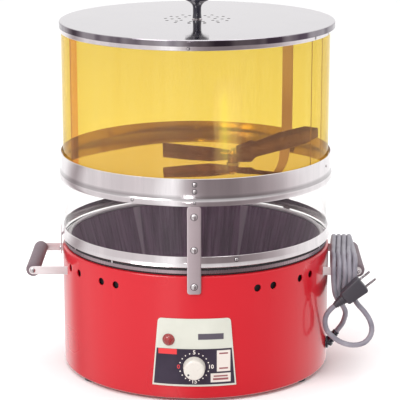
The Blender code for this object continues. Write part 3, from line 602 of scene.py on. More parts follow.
def printed_label(name):
    """The control label: a warm white plate with a dark lower panel and plain print."""
    f = Finish(name)
    x, _, z = f.parts(f.place())

    def box(cx, cz, half_x, half_z, soft=0.00025):
        across = f.spread((x - cx).size(), half_x - soft, half_x + soft, 1.0, 0.0)
        return across * f.spread((z - cz).size(), half_z - soft, half_z + soft, 1.0, 0.0)

    side = f.spread(x.size() + (z - LABEL_LOW) * 0.0827, 0.0519, 0.0524, 1.0, 0.0)
    low, high = LABEL_LOW + 0.0025, LABEL_LOW + 0.0505
    panel = side * f.spread((z - (low + high) / 2).size(), (high - low) / 2 - 0.0002,
                            (high - low) / 2 + 0.0002, 1.0, 0.0)
    grain = f.noise(f.place(), 850.0, 2.0, 0.5)
    age = f.noise(f.place(), 32.0, 3.0, 0.55)
    cream = f.mix(f.spread(age, 0.3, 0.7), (0.585, 0.585, 0.515), (0.63, 0.63, 0.56))
    ink = f.mix(f.spread(age, 0.3, 0.7), (0.030, 0.020, 0.038), (0.045, 0.032, 0.056))
    colour = f.mix(panel, cream, ink)
    red = box(-0.0340, 0.0683, 0.0118, 0.0036)
    colour = f.mix(red, colour, (0.72, 0.045, 0.05))
    colour = f.mix(box(0.0212, 0.0886, 0.0163, 0.0040), colour, (0.10, 0.085, 0.11))
    colour = f.mix(box(0.0375, 0.0555, 0.0086, 0.0142), colour, (0.74, 0.67, 0.62))
    colour = f.mix(box(0.0338, 0.0330, 0.0128, 0.0060), colour, (0.74, 0.67, 0.62))
    bars = box(0.0375, 0.0655, 0.0056, 0.0010) + box(0.0375, 0.0455, 0.0056, 0.0010)
    bars = bars + box(0.0338, 0.0352, 0.0090, 0.0010) + box(0.0338, 0.0312, 0.0098, 0.0014)
    colour = f.mix(bars.clamped(), colour, (0.30, 0.09, 0.10))
    f.set(Base_Color=colour, Roughness=f.spread(age, 0.3, 0.7, 0.36, 0.46), Specular_IOR_Level=0.3,
          Normal=f.bump(grain, 0.03, 0.0003))
    return f.material


def vinyl_cord(name):
    """Grey vinyl, a little darker where it has been handled."""
    f = Finish(name)
    skin = f.noise(f.place(), 520.0, 2.0, 0.5)
    handled = f.noise(f.place(), 38.0, 3.0, 0.55)
    f.set(Base_Color=f.mix(f.spread(handled, 0.3, 0.7), (0.20, 0.185, 0.225), (0.33, 0.31, 0.355)),
          Roughness=f.spread(skin, 0.3, 0.7, 0.34, 0.46), Normal=f.bump(skin, 0.05, 0.0003))
    return f.material


def blade_metal(name):
    """The stirrer's dark, heat-stained steel, with oily brown patches."""
    f = Finish(name)
    stains = f.noise(f.place(), 42.0, 4.0, 0.62, 0.4)
    brushed = f.noise(f.up_drum(1.0, 0.25), 620.0, 3.0, 0.6)
    tone = f.spread(stains, 0.3, 0.7) * 0.7 + f.spread(brushed, 0.3, 0.7) * 0.3
    f.set(Base_Color=f.node("ShaderNodeValToRGB", {"stops": [
              (0.0, (0.080, 0.030, 0.045)), (0.55, (0.18, 0.080, 0.110)),
              (1.0, (0.32, 0.17, 0.21))]},
              {0: tone}),
          Roughness=f.spread(brushed, 0.3, 0.7, 0.26, 0.40), Metallic=0.75,
          Normal=f.bump(brushed, 0.08, 0.0003))
    return f.material


def paper(name, colour):
    """Plain pale floor with a barely visible tooth."""
    f = Finish(name)
    tooth = f.noise(f.place(), 30.0, 3.0, 0.5)
    f.set(Base_Color=f.mix(f.spread(tooth, 0.3, 0.7), tuple(c * 0.985 for c in colour), colour),
          Roughness=0.9)
    return f.material


# --- what a user may change -----------------------------------------------------------

class PopcornSizes(bpy.types.PropertyGroup):
    """Small sizes that the drawing of the main parts doesn't fix."""
    rivet_radius: FloatProperty(name="Rivet radius", description="Radius of the band rivets",
                                default=0.0026, min=0.001, max=0.004, subtype="DISTANCE",
                                unit="LENGTH")
    screw_radius: FloatProperty(name="Screw radius",
                                description="Radius of the strap screws' heads",
                                default=0.0041, min=0.002, max=0.006, subtype="DISTANCE",
                                unit="LENGTH")
    vent_radius: FloatProperty(name="Vent radius",
                               description="Radius of the vent holes in the base",
                               default=0.0049, min=0.002, max=0.006, subtype="DISTANCE",
                               unit="LENGTH")
    cord_turns: IntProperty(name="Cord turns", description="Turns of cord over the right handle",
                            default=5, min=2, max=5)


class PopcornColours(bpy.types.PropertyGroup):
    """The colours of the painted and moulded pieces."""
    shell: FloatVectorProperty(name="Shell", description="Enamel of the base", subtype="COLOR",
                               size=3, min=0, max=1, default=(0.575, 0.006, 0.016))
    amber: FloatVectorProperty(name="Amber",
                               description="Tint that one face of the upper drum lets through",
                               subtype="COLOR", size=3, min=0, max=1, default=(0.952, 0.900, 0.575))
    clear: FloatVectorProperty(name="Clear",
                               description="Tint that one face of the lower drum lets through",
                               subtype="COLOR", size=3, min=0, max=1, default=(0.985, 0.980, 0.978))
    cream: FloatVectorProperty(name="Knob", description="Plastic of the timer's knob",
                               subtype="COLOR",
                               size=3, min=0, max=1, default=(0.70, 0.655, 0.60))


FINISHES = {}


def sizes():
    return bpy.context.scene.popcorn_sizes


def make_finishes():
    """Every material of the object, once."""
    colours = bpy.context.scene.popcorn_colours
    centre = (AXIS_X, AXIS_Y)
    FINISHES.update(
        enamel=enamel("shell_enamel", tuple(colours.shell)),
        band=steel("band_steel", (0.92, 0.87, 0.885), 0.13, 0.26, inside=SHEET_RADIUS + 0.0008),
        # the middle band's foot gets a painted dark reflection
        mid_band=steel("mid_band_steel", (0.92, 0.87, 0.885), 0.13, 0.26,
                       foot=(BAND_LOW + 0.0072, 0.0045), split=FLOOR_TOP + 0.0066),
        seat=steel("seat_steel", (0.50, 0.40, 0.43), 0.26, 0.2),
        satin=steel("satin_steel", (0.66, 0.61, 0.62), 0.30, 0.10),
        seam=steel("seam_steel", (0.78, 0.55, 0.62), 0.32, 0.10),
        strap=steel("strap_steel", (0.84, 0.73, 0.76), 0.36, 0.10, "up"),
        rail=steel("rail_steel", (0.80, 0.73, 0.735), 0.36, 0.06, "up", metal=0.4),
        screw=steel("screw_steel", (0.74, 0.70, 0.71), 0.12, 0.05),
        # the lid gets painted dark reflections in patches round its rim, below LID_TOP - 0.0004
        mirror=mirror("lid_steel", (0.475, 0.445, 0.470), 0.07,
                      (AXIS_X + LID_X, AXIS_Y), LID_TOP - 0.0004),
        plate=mirror("floor_plate_steel", (0.92, 0.73, 0.66), 0.045, centre),
        pan=pan_coating("pan_coating"),
        rim=bright_rim("pan_rim_steel"),
        # the amber's last argument is a painted glare, a pale patch standing in for a highlight
        amber=sheet("amber_sheet", tuple(colours.amber), (0.98, 0.80, 0.42), 0.9, 0.25, 0.055,
                    (0.97, 0.54, 0.48), (0.041, 0.020, 0.290, 0.425, 0.20, (1.0, 0.88, 0.18))),
        lap=sheet("amber_lap_sheet", (0.97, 0.80, 0.70), (0.98, 0.70, 0.42), 0.5, 0.4, 0.03,
                  (0.95, 0.50, 0.30)),
        clear=sheet("clear_sheet", tuple(colours.clear), (0.97, 0.96, 0.96), 0.7, 0.3, 0.012,
                    (0.90, 0.88, 0.90)),
        black=moulded("black_plastic", (0.010, 0.010, 0.022), 0.16, 500.0, 0.03, 0.8),
        plug=moulded("plug_rubber", (0.050, 0.044, 0.056), 0.42, 600.0, 0.06),
        rubber=moulded("foot_rubber", (0.030, 0.029, 0.032), 0.75, 420.0, 0.2),
        grip=moulded("grip_foam", (0.178, 0.128, 0.148), 0.62, 650.0, 0.25, 0.0, 0.2),
        cream=moulded("knob_plastic", tuple(colours.cream), 0.30, 500.0, 0.03, 0.3, 0.05),
        lamp=lamp_glass("lamp_lens"),
        cord=vinyl_cord("cord_vinyl"),
        label=printed_label("control_label"),
        blade=blade_metal("stirrer_steel"),
        brass=steel("brass", (0.83, 0.60, 0.26), 0.24, 0.10),
        ceramic=moulded("ceramic", (0.80, 0.77, 0.70), 0.65, 300.0, 0.1),
        white_ink=moulded("white_ink", (0.86, 0.79, 0.74), 0.45, 700.0, 0.02, 0.0, 0.05),
        red_ink=moulded("red_ink", (0.74, 0.04, 0.05), 0.45, 700.0, 0.02, 0.0, 0.05),
        dark_ink=moulded("dark_ink", (0.05, 0.04, 0.06), 0.45, 700.0, 0.02, 0.0, 0.05),
        line=moulded("sheet_edge", (0.30, 0.13, 0.07), 0.5, 400.0, 0.02),
        dark=moulded("dark_gap", (0.018, 0.014, 0.018), 0.6, 300.0, 0.05))


# --- pieces ---------------------------------------------------------------------------

def rivet_shadow_rings(name, spots, body):
    """Dark rings of painted shadow round rivets and screws, from (place, direction, radius)."""
    rings = [knob_like("ring", [(0, 0.00018), (radius, 0.00014), (radius, -0.0003), (0, -0.0003)],
                       where, direction, 24) for where, direction, radius in spots]
    finish(together(name, rings), FINISHES["dark"], body)


def rivet(where, direction, radius, name="rivet", rise=0.45):
    """A domed rivet head with a soft foot."""
    dome = [(0, radius * rise)] + [(radius * math.sin(a), radius * rise * math.cos(a))
                                   for a in (0.35, 0.7, 1.05, 1.35)]
    return knob_like(name, dome + [(radius, 0.0), (radius * 0.9, -0.0004), (0, -0.0004)],
                     where, direction, 20)


def slotted_screw(name, where, direction, radius, rise, spin=0.4):
    """A domed screw head with a washer under it and a slot cut across it."""
    dome = [(0, rise)] + [(radius * math.sin(a), rise * math.cos(a)) for a in (0.3, 0.6, 0.9, 1.2)]
    head = knob_like(name, dome + [(radius, 0.0002), (radius, -0.0002), (0, -0.0002)],
                     (0, 0, 0), None, 32)
    bpy.ops.object.select_all(action="DESELECT")
    bpy.ops.mesh.primitive_cube_add(size=1, location=(0, 0, rise))
    slot = bpy.context.object
    slot.scale = (radius * 2.2, radius * 0.22, rise * 0.9)
    bored(head, [slot])
    return settle(place(head, where, direction, spin), name)


def ring_band(name, profile, material, body, node, slot="polished_steel"):
    """A closed ring of this profile for a CAD node."""
    return finish(turned(name, profile, closed=True), material, body, node, slot)


def make_base_shell():
    """The enamelled shell with its rolled edges and its eight vent holes."""
    low, top, radius, wall = SHELL_LOW, SHELL_TOP, SHELL_RADIUS, 0.0015
    seat = 0.171
    outer = [(seat, top)] + arc((radius - 0.003, top - 0.003), 0.003, 90, 0, 7)
    outer += arc((radius - 0.003, low + 0.003), 0.003, 0, -90, 7)
    inner = [(radius - 0.027, low), (radius - 0.027, low + wall), (radius - wall, low + wall),
             (radius - wall, top - wall), (seat, top - wall)]
    shell = turned("enamel_shell", outer + inner, closed=True, steps=192)
    holes = [drill(sizes().vent_radius, 0.03, on_drum(a, radius, VENT_HEIGHT), towards(a))
             for a in VENT_AZIMUTHS]
    holes.append(drill(0.0064, 0.03, on_drum(80, radius, 0.0316), towards(80)))
    holes.append(drill(0.0062, 0.03, on_drum(0, radius, TIMER_HEIGHT), towards(0)))
    bored(shell, holes)
    settle(shell, smooth=30)
    finish(shell, FINISHES["enamel"], "root", "base_shell", "red_enamel")
    # painted shadow: dark discs behind the vent holes, so that the holes read dark
    vent_shadow_discs = []
    for azimuth in VENT_AZIMUTHS:
        vent_shadow_discs.append(knob_like("vent_dark", [(0, 0), (0.0062, 0), (0.0062, -0.0008),
                                               (0, -0.0008)],
                                 on_drum(azimuth, radius - 0.0045, VENT_HEIGHT), towards(azimuth),
                                 20))
    finish(together("vent_shadows", vent_shadow_discs), FINISHES["dark"], "root")


def make_pan():
    """The deep pan with its rolled bright rim, on its seat ring."""
    inner = 0.1695
    low, corner = PAN_FLOOR, 0.022
    middle = (0.150 - corner, low + corner)
    profile = [(0, low), (0.03, low), (0.08, low)] + arc(middle, corner, -90, -8, 10)
    profile += [(inner - 0.0004, PAN_RIM - 0.0058), (inner + 0.0012, PAN_RIM - 0.0058)]
    profile += arc(middle, corner + 0.0012, -8, -90, 10) + [(0.08, low - 0.0012), (0, low - 0.0012)]
    pan = turned("pan_bowl", profile)
    finish(pan, FINISHES["pan"], "root", "pan", "coated_pan")
    bead = (inner + 0.0012, PAN_RIM - 0.0026)
    rim = turned("pan_rim", arc(bead, 0.0026, 0, 342, 19), closed=True)
    finish(rim, FINISHES["rim"], "root", None, "polished_steel")
    step = SHELL_TOP + 0.0024
    seat = [(SHEET_RADIUS - 0.0004, SEAT_TOP), (SHEET_RADIUS, SEAT_TOP - 0.0004),
            (SHEET_RADIUS, step + 0.0004),
            (SHEET_RADIUS - 0.0004, step), (0.1714, step), (0.1714, SEAT_TOP)]
    ring_band("seat_ring", seat, FINISHES["seat"], "root", "pan_seat_ring", "satin_steel")
    # painted shadow: a dark ring in the gap under the seat ring
    shadow = [(SHEET_RADIUS - 0.0016, step), (SHEET_RADIUS - 0.0016, SHELL_TOP + GAP),
              (0.1714, SHELL_TOP + GAP),
              (0.1714, step)]
    finish(turned("seat_shadow_ring", shadow, closed=True), FINISHES["dark"], "root")


def make_lower_drum():
    """The clear wall and its flared band, with the strap, clips, rivets and screws."""
    inner = SHEET_RADIUS - SHEET_WALL
    wall = turned("clear_wall", [(SHEET_RADIUS, CLEAR_TOP), (SHEET_RADIUS, CLEAR_LOW),
                                 (inner, CLEAR_LOW),
                                 (inner, CLEAR_TOP)], closed=True)
    finish(wall, FINISHES["clear"], "root", "clear_cylinder", "clear_plastic")
    fit, thick, flare = SHEET_RADIUS + GAP, 0.001, 0.0022
    knee = LOWER_LOW + 0.0045
    out = fit + thick
    band = [(out - 0.0003, LOWER_TOP), (out, LOWER_TOP - 0.0003), (out, knee + 0.0008),
            (out + 0.0004, knee - 0.0004),
            (out + flare, LOWER_LOW + 0.0003), (out + flare - 0.0003, LOWER_LOW),
            (fit + flare - 0.0003, LOWER_LOW),
            (fit, knee), (fit, LOWER_TOP)]
    ring_band("clear_wall_band", band, FINISHES["band"], "root", "lower_band")
    spacers = []
    for azimuth in (-61, -36, 66):
        spacers.append(wrapped(outlined("spacer",
                                        rounded_box(0.0013, 0.0019, 0.0006,
                                                    (0, LOWER_LOW - 0.0020)),
                                        0.0010, 0.0002), SHEET_RADIUS + 0.0009, azimuth))
    finish(together("band_spacers", spacers), FINISHES["screw"], "root")
    gasket = turned("seat_gasket", [(SHEET_RADIUS + 0.0009, CLEAR_LOW + 0.0022),
                                    (SHEET_RADIUS + 0.0009, CLEAR_LOW),
                                    (SHEET_RADIUS + 0.0001, CLEAR_LOW),
                                    (SHEET_RADIUS + 0.0001, CLEAR_LOW + 0.0022)], closed=True)
    finish(gasket, FINISHES["dark"], "root")
    make_strap()


def make_strap():
    """The front strap with its round lower end, the two clips, and their screws."""
    low, high = size_of("front_strap")[0].z, size_of("front_strap")[1].z
    radius = 0.1815
    half = (high - low) / 2
    strap = outlined("strap", rounded_box(0.0088, half, 0.0034, (0, (low + high) / 2)), 0.0012,
                     0.0003, 12)
    wrapped(strap, radius, 0)
    finish(strap, FINISHES["strap"], "root", "front_strap", "satin_steel")
    heads = [slotted_screw(f"strap_head_{i}", on_drum(0, radius + 0.0016, z), towards(0),
                           sizes().screw_radius, 0.0021, 0.5 + 0.9 * i)
             for i, z in enumerate(STRAP_HEIGHTS, 1)]
    for i, head in enumerate(heads, 1):
        finish(head, FINISHES["screw"], "root", f"strap_screw_{i}", "polished_steel")
    for i, azimuth in enumerate(CLIP_AZIMUTHS, 1):
        low, high = size_of(f"band_clip_{i}")[0].z, size_of(f"band_clip_{i}")[1].z
        clip = outlined(f"clip_{i}", rounded_box(0.006, (high - low) / 2, 0.002,
                                                 (0, (low + high) / 2)),
                        0.0012, 0.0003, 6)
        finish(wrapped(clip, radius, azimuth), FINISHES["strap"], "root", f"band_clip_{i}",
               "satin_steel")
        head = slotted_screw(f"clip_head_{i}", on_drum(azimuth, radius + 0.0016, SHELL_TOP - 0.008),
                             towards(azimuth), 0.0035, 0.0018)
        finish(head, FINISHES["screw"], "root", f"clip_screw_{i}", "polished_steel")
    rivet_shadow_rings("strap_screw_shadows",
                [(on_drum(0, radius + 0.0013, z), towards(0), sizes().screw_radius + 0.0006)
                                      for z in STRAP_HEIGHTS], "root")
    side = rivet(on_drum(17.4, SHEET_RADIUS + 0.0014, LOWER_TOP - 0.0052), towards(17.4), 0.0024)
    rivet_shadow_rings("lower_rivet_shadow", [(on_drum(17.4, SHEET_RADIUS + 0.0013, LOWER_TOP - 0.0052),
                                      towards(17.4), 0.0031)], "root")
    finish(together("lower_band_rivet", [side]), FINISHES["screw"], "root")


def make_upper_drum():
    """The amber wall with its floor plate and two bands, the seam strap and the rivets."""
    inner, low, high = SHEET_RADIUS - SHEET_WALL, AMBER_LOW, AMBER_TOP
    wall = turned("amber_wall", [(SHEET_RADIUS, high), (SHEET_RADIUS, low), (inner, low),
                                 (inner, high)],
                  closed=True)
    finish(wall, FINISHES["amber"], "upper_drum", "amber_cylinder", "amber_plastic")
    out = SHEET_RADIUS + 0.0035
    flare, shoulder = BAND_FLARE_RADIUS, BAND_LOW + 0.0074
    thick = 0.001
    ledge = FLOOR_TOP - 0.001 - GAP
    band = [(out - 0.0003, BAND_TOP), (out + 0.0002, BAND_TOP - 0.0006), (out, BAND_TOP - 0.0014),
            (out - 0.0004, (BAND_TOP + shoulder) / 2 + 0.004), (out, shoulder + 0.0022),
            (out + 0.0006, shoulder + 0.0006), (flare, shoulder - 0.0012),
            (flare, BAND_LOW + 0.0006),
            (flare - 0.0004, BAND_LOW), (flare - thick, BAND_LOW),
            (flare - thick, shoulder - 0.0022),
            (out - thick, shoulder - 0.001), (out - thick, ledge - 0.0022),
            (SHEET_RADIUS - 0.0025, ledge - 0.0022),
            (SHEET_RADIUS - 0.0025, ledge), (out - thick, ledge), (out - thick, BAND_TOP)]
    ring_band("mid_band", band, FINISHES["mid_band"], "upper_drum", "middle_band")
    plate = out - thick - GAP
    disc = turned("floor_plate", [(0, FLOOR_TOP), (plate * 0.5, FLOOR_TOP),
                                  (plate - 0.0006, FLOOR_TOP),
                                  (plate, FLOOR_TOP - 0.0003), (plate, FLOOR_TOP - 0.001),
                                  (plate * 0.5, FLOOR_TOP - 0.001), (0, FLOOR_TOP - 0.001)])
    finish(disc, FINISHES["plate"], "upper_drum", "drum_floor", "mirror_steel")
    top_in = SHEET_RADIUS + GAP
    foot = TOP_BAND_LOW
    top = [(top_in + 0.0007, high), (top_in + 0.001, high - 0.0004),
           (top_in + 0.001, foot + 0.0004),
           (top_in + 0.0007, foot), (top_in, foot), (top_in, high)]
    ring_band("upper_band", top, FINISHES["band"], "upper_drum", "top_band")
    seam = outlined("seam", rounded_box(0.010, (high - low) / 2, 0.0004, (0, (low + high) / 2)),
                    0.001, 0.0002, 8)
    wrapped(seam, inner - GAP - 0.001, SEAM_AZIMUTH)
    finish(seam, FINISHES["seam"], "upper_drum", "seam_strap", "satin_steel")
    lap = outlined("lap", rounded_box(0.0115, (high - low) / 2, 0.0003, (0, (low + high) / 2)),
                   0.0008, 0.0001, 10)
    wrapped(lap, inner - GAP - 0.0008, -62.5)
    finish(lap, FINISHES["lap"], "upper_drum")
    edges = []
    for azimuth, wide in ((58.7, 0.0005), (69.9, 0.0006), (-66.8, 0.0004)):
        line = outlined("line", rounded_box(wide, (high - low) / 2, 0.0001, (0, (low + high) / 2)),
                        0.0005, 0.0)
        edges.append(wrapped(line, inner - 2 * GAP - 0.0018, azimuth))
    finish(together("sheet_edges", edges), FINISHES["line"], "upper_drum")
    r = sizes().rivet_radius
    studs = [rivet(on_drum(0.2, out - 0.0001, z), towards(0.2), r)
             for z in (BAND_TOP - 0.0075, BAND_TOP - 0.0165)]
    studs += [rivet(on_drum(0.2, flare - 0.0001, BAND_LOW + 0.0045), towards(0.2), r * 0.6),
              rivet(on_drum(-25.2, flare - 0.0001, BAND_LOW + 0.0045), towards(-25.2), r * 0.6),
              rivet(on_drum(72, out - 0.0001, BAND_TOP - 0.012), towards(72), r * 0.7)]
    studs += [rivet(on_drum(180, out - thick - 0.0003, z), -towards(180), r) for z in
              (BAND_TOP - 0.004, BAND_TOP - 0.0105)]
    studs += [rivet(on_drum(180, out - 0.0001, z), towards(180), r)
              for z in (BAND_TOP - 0.0075, BAND_TOP - 0.0165)]
    studs += [rivet(on_drum(a, top_in + 0.0009, foot + 0.0028), towards(a), r * 0.62)
              for a in (-2.2, 59, 74, 176)]
    for k in range(5):
        z = low + 0.018 + k * (high - low - 0.036) / 4
        studs.append(rivet(on_drum(SEAM_AZIMUTH, SHEET_RADIUS, z), towards(SEAM_AZIMUTH), r * 0.8))
    finish(together("drum_rivets", studs), FINISHES["screw"], "upper_drum")
    rivet_shadow_rings("drum_rivet_shadows", [(on_drum(0.2, out - 0.0002, z), towards(0.2), r + 0.0007)
                                     for z in (BAND_TOP - 0.0075, BAND_TOP - 0.0165)]
                + [(on_drum(a, flare, BAND_LOW + 0.0045), towards(a), r * 0.6 + 0.0005)
                   for a in (0.2, -25.2)]
                + [(on_drum(a, top_in + 0.0009, foot + 0.0028), towards(a), r * 0.62 + 0.0005)
                   for a in (-2.2, 59, 74)], "upper_drum")


def make_stirrer():
    """Two folded blades on a hub, with the spindle and wing nut that hold them."""
    base = FLOOR_TOP + 2 * GAP + 0.0015
    x, y = STIRRER_X, STIRRER_Y
    hub = knob_like("hub", [(0.0035, 0.0105), (0.0064, 0.0105), (0.0072, 0.0096), (0.0074, 0.0012),
                            (0.0068, 0), (0.0035, 0)], (x, y, base), None, 40)
    spindle = knob_like("spindle",
                        [(0, SPINDLE_TOP - FLOOR_TOP - GAP),
                         (0.0026, SPINDLE_TOP - FLOOR_TOP - GAP),
                                    (0.003, SPINDLE_TOP - FLOOR_TOP - 0.001), (0.003, 0.0015),
                                    (0.0086, 0.0015),
                                    (0.009, 0.0011), (0.009, 0), (0, 0)], (x, y, FLOOR_TOP + GAP),
                                    None, 32)
    finish(spindle, FINISHES["screw"], "upper_drum", "stirrer_spindle", "polished_steel")
    left = folded_blade("left_blade", [(-0.005, 0.000, 0.0100), (-0.030, -0.001, 0.0115),
                                       (-0.060, -0.002, 0.0140), (-0.093, -0.002, 0.0175)],
                        [0.018, 0.026, 0.027, 0.027], [45, 45, 45, 45], x, y, base)
    right = folded_blade("right_blade", [(0.004, 0.000, 0.0110), (0.024, 0.001, 0.0150),
                                         (0.030, 0.001, 0.0170), (0.060, 0.002, 0.0270),
                                         (0.095, 0.003, 0.0360), (0.112, 0.003, 0.0395)],
                         [0.026, 0.032, 0.022, 0.026, 0.025, 0.012], [50, 58, 60, 62, 62, 62],
                         x, y, base)
    finish(together("stirrer_blades", [hub, left, right]), FINISHES["blade"], "stirrer", "stirrer",
           "satin_steel")
    nut = knob_like("nut", [(0.0033, 0.0040), (0.0046, 0.0040), (0.0052, 0.0030), (0.0054, 0),
                            (0.0033, 0)], (x, y, base + 0.0108), None, 24)
    tab = outlined("tab", rounded_box(0.0075, 0.0046, 0.0016), 0.0010, 0.0002)
    settle(place(tab, (x - 0.0095, y - 0.0065, base + 0.0150), (0.25, 0.95, 0.12), 0.0), "tab")
    wing = [nut, tab]
    finish(together("wing_nut", wing), FINISHES["brass"], "stirrer", "stirrer_nut", "brass")


def folded_blade(name, spine, widths, pitches, x, y, base):
    """A blade along a spine of points from the hub, this wide and pitched by these
    angles, with a fold along its upper part and a thin edge."""
    across = (-0.5, -0.46, -0.15, 0.14, 0.20, 0.42, 0.5)
    steps = 12
    fine = []
    for i in range(len(spine) - 1):
        for k in range(steps):
            t = k / steps
            a, b = Vector(spine[i]), Vector(spine[i + 1])
            fine.append((a.lerp(b, t), widths[i] * (1 - t) + widths[i + 1] * t,
                         pitches[i] * (1 - t) + pitches[i + 1] * t))
    fine.append((Vector(spine[-1]), widths[-1], pitches[-1]))
    mesh = bpy.data.meshes.new(name)
    spots, faces = [], []
    for point, width, pitch in fine:
        tip = math.radians(pitch)
        lean, rise = Vector((0, math.cos(tip),
                             math.sin(tip))), Vector((0, -math.sin(tip), math.cos(tip)))
        if spine[-1][0] < 0:
            lean, rise = Vector((0, math.cos(tip),
                                 -math.sin(tip))), Vector((0, math.sin(tip), math.cos(tip)))
        for share in across:
            fold = 0.0
            if share > 0.17:
                fold = (share - 0.17) * width * 0.45
            if share < -0.4:
                fold = -(abs(share) - 0.4) * width * 0.4
            spots.append(point + lean * (share * width) - rise * fold + Vector((x, y, base)))
    n = len(across)
    for r in range(len(fine) - 1):
        for c in range(n - 1):
            a = r * n + c
            faces.append((a, a + 1, a + n + 1, a + n))
    mesh.from_pydata(spots, [], faces)
    piece = bpy.data.objects.new(name, mesh)
    bpy.context.scene.collection.objects.link(piece)
    alone(piece)
    thick = piece.modifiers.new("thickness", "SOLIDIFY")
    thick.thickness, thick.offset = 0.0012, 0.0
    apply_all(piece)
    bpy.ops.object.mode_set(mode="EDIT")
    bpy.ops.mesh.select_all(action="SELECT")
    bpy.ops.mesh.normals_make_consistent(inside=False)
    bpy.ops.object.mode_set(mode="OBJECT")
    return settle(piece, name, 30)


def make_lid():
    """The polished lid with its vent holes, and the spool-shaped knob with its cap."""
    radius, top, skirt, edge = LID_RADIUS, LID_TOP, LID_SKIRT, 0.0016
    low = top - 0.0012
    profile = [(0, top), (radius * 0.3, top), (radius * 0.7, top), (radius - edge - 0.002, top)]
    profile += arc((radius - edge, top - edge), edge, 90, 0, 6)
    profile += [(radius, skirt + 0.0004), (radius - 0.0003, skirt), (radius - 0.0008, skirt),
                (radius - 0.0008, low), (radius * 0.7, low), (radius * 0.3, low), (0, low)]
    middle = Vector((AXIS_X + LID_X, AXIS_Y, 0))
    lid = turned("lid_plate", profile, steps=192, about=middle)
    holes, hole_shadows = [], []
    for reach, count in ((0.024, 9), (0.033, 10), (0.042, 13)):
        for i in range(count):
            spot = on_drum(360 * (i + 0.5) / count, reach, top) + Vector((LID_X, 0, 0))
            holes.append(drill(0.0023, 0.01, spot, (0, 0, 1), 12))
            # painted shadow: a dark disc under each hole, so that the holes read dark
            hole_shadows.append(knob_like("hole_shadow", [(0, 0), (0.0034, 0), (0.0034, -0.0004),
                                                (0, -0.0004)],
                                     spot - Vector((0, 0, top - low + GAP)), None, 12))
    bored(lid, holes)
    finish(together("lid_hole_shadows", hole_shadows), FINISHES["dark"], "lid")
    settle(lid, smooth=30)
    finish(lid, FINISHES["mirror"], "lid", "lid", "mirror_steel")
    washer_low, washer_top = size_of("knob_washer")[0].z, size_of("knob_washer")[1].z
    washer = knob_like("washer", [(0.0025, 0.001), (0.0064, 0.001), (0.0069, 0.0006),
                                  (0.0069, 0), (0.0025, 0)],
                       middle + Vector((0, 0, washer_low)), None, 40)
    finish(washer, FINISHES["screw"], "lid", "knob_washer", "polished_steel")
    foot, head, stem, height = washer_top + GAP, 0.0165, 0.0055, 0.029
    spool = [(0, height - 0.0012), (0.0082, height - 0.0012), (0.0084, height),
             (head - 0.0035, height),
             (head - 0.0012, height - 0.0006), (head, height - 0.0024),
             (head - 0.0006, height - 0.0050),
             (0.0128, height - 0.0066), (0.0100, height - 0.0082), (0.0076, height - 0.0104),
             (stem + 0.0006, height - 0.0126), (stem, height / 2 - 0.001), (stem, 0.0060),
             (stem + 0.0003, 0.0030), (0.0060, 0.0012), (0.0062, 0.0004), (0.0060, 0), (0, 0)]
    knob = knob_like("spool_knob", spool, middle + Vector((0, 0, foot)), None, 64)
    finish(knob, FINISHES["black"], "lid", "lid_knob", "black_plastic")
    cap = knob_like("knob_disc", [(0, 0.0020), (0.0035, 0.0019), (0.0062, 0.0014),
                                  (0.0080, 0.0004), (0.0080, -0.0004),
                                  (0, -0.0004)], middle + Vector((0, 0, foot + height - 0.0008)),
                                  None, 48)
    finish(cap, FINISHES["satin"], "lid", "knob_cap", "satin_steel")


def make_controls():
    """The label with its dial marks, the lamp's lens and the timer's knob."""
    half_low, half_high, corner = 0.0545, 0.0470, 0.005
    high = LABEL_HIGH - corner
    edge = [(-half_low, LABEL_LOW), (half_low, LABEL_LOW)]
    edge += arc((half_high - corner, high), corner, 4, 90,
                6) + arc((corner - half_high, high), corner, 90, 176, 6)
    plate = outlined("label", edge, 0.001, 0.0002, 40)
    wrapped(plate, SHELL_RADIUS + GAP, 0)
    finish(plate, FINISHES["label"], "root", "label_plate", "label")
    lens = knob_like("lamp_dome", [(0, 0.0052), (0.0022, 0.0050), (0.0044, 0.0041),
                                   (0.0058, 0.0028), (0.0064, 0.0014),
                                   (0.0072, 0.0014), (0.0078, 0.0008), (0.0080, 0), (0, 0)],
                     on_drum(LAMP_AZIMUTH, LABEL_FACE + 0.0001, LAMP_HEIGHT),
                     towards(LAMP_AZIMUTH), 48)
    finish(lens, FINISHES["lamp"], "root", "lamp_lens", "lamp_red")
    print_dial()
    radius, deep = 0.01425, 0.0140
    profile = [(0, deep), (radius * 0.60, deep), (radius * 0.80, deep - 0.0003),
               (radius * 0.90, deep - 0.0014),
               (radius * 0.94, deep - 0.0030), (radius * 0.985, 0.0022), (radius, 0.0012),
               (radius, 0), (0, 0)]
    knob = knob_like("dial_knob", profile, (0, 0, 0), None, 72)
    cutters = []
    for i in range(24):
        turn = math.radians(15 * i)
        cutter = drill(0.0011, 0.02,
                       (1.045 * radius * math.cos(turn), 1.045 * radius * math.sin(turn), 0.0105),
                       (0, 0, 1), 10)
        cutters.append(cutter)
    bored(knob, cutters)
    settle(place(knob, on_drum(0, LABEL_FACE + 2 * GAP, TIMER_HEIGHT), towards(0)), "dial_knob", 30)
    finish(knob, FINISHES["cream"], "timer", "timer_knob", "cream_plastic")
    away = math.radians(218)
    dot = knob_like("dial_pointer", [(0, 0.0005), (0.0011, 0.0004), (0.0014, 0), (0, 0)],
                    on_drum(0, LABEL_FACE + 2 * GAP + deep - 0.0001, TIMER_HEIGHT)
                    + Vector((0.0092 * math.cos(away), 0, 0.0092 * math.sin(away))), towards(0), 20)
    finish(dot, FINISHES["dark_ink"], "timer")


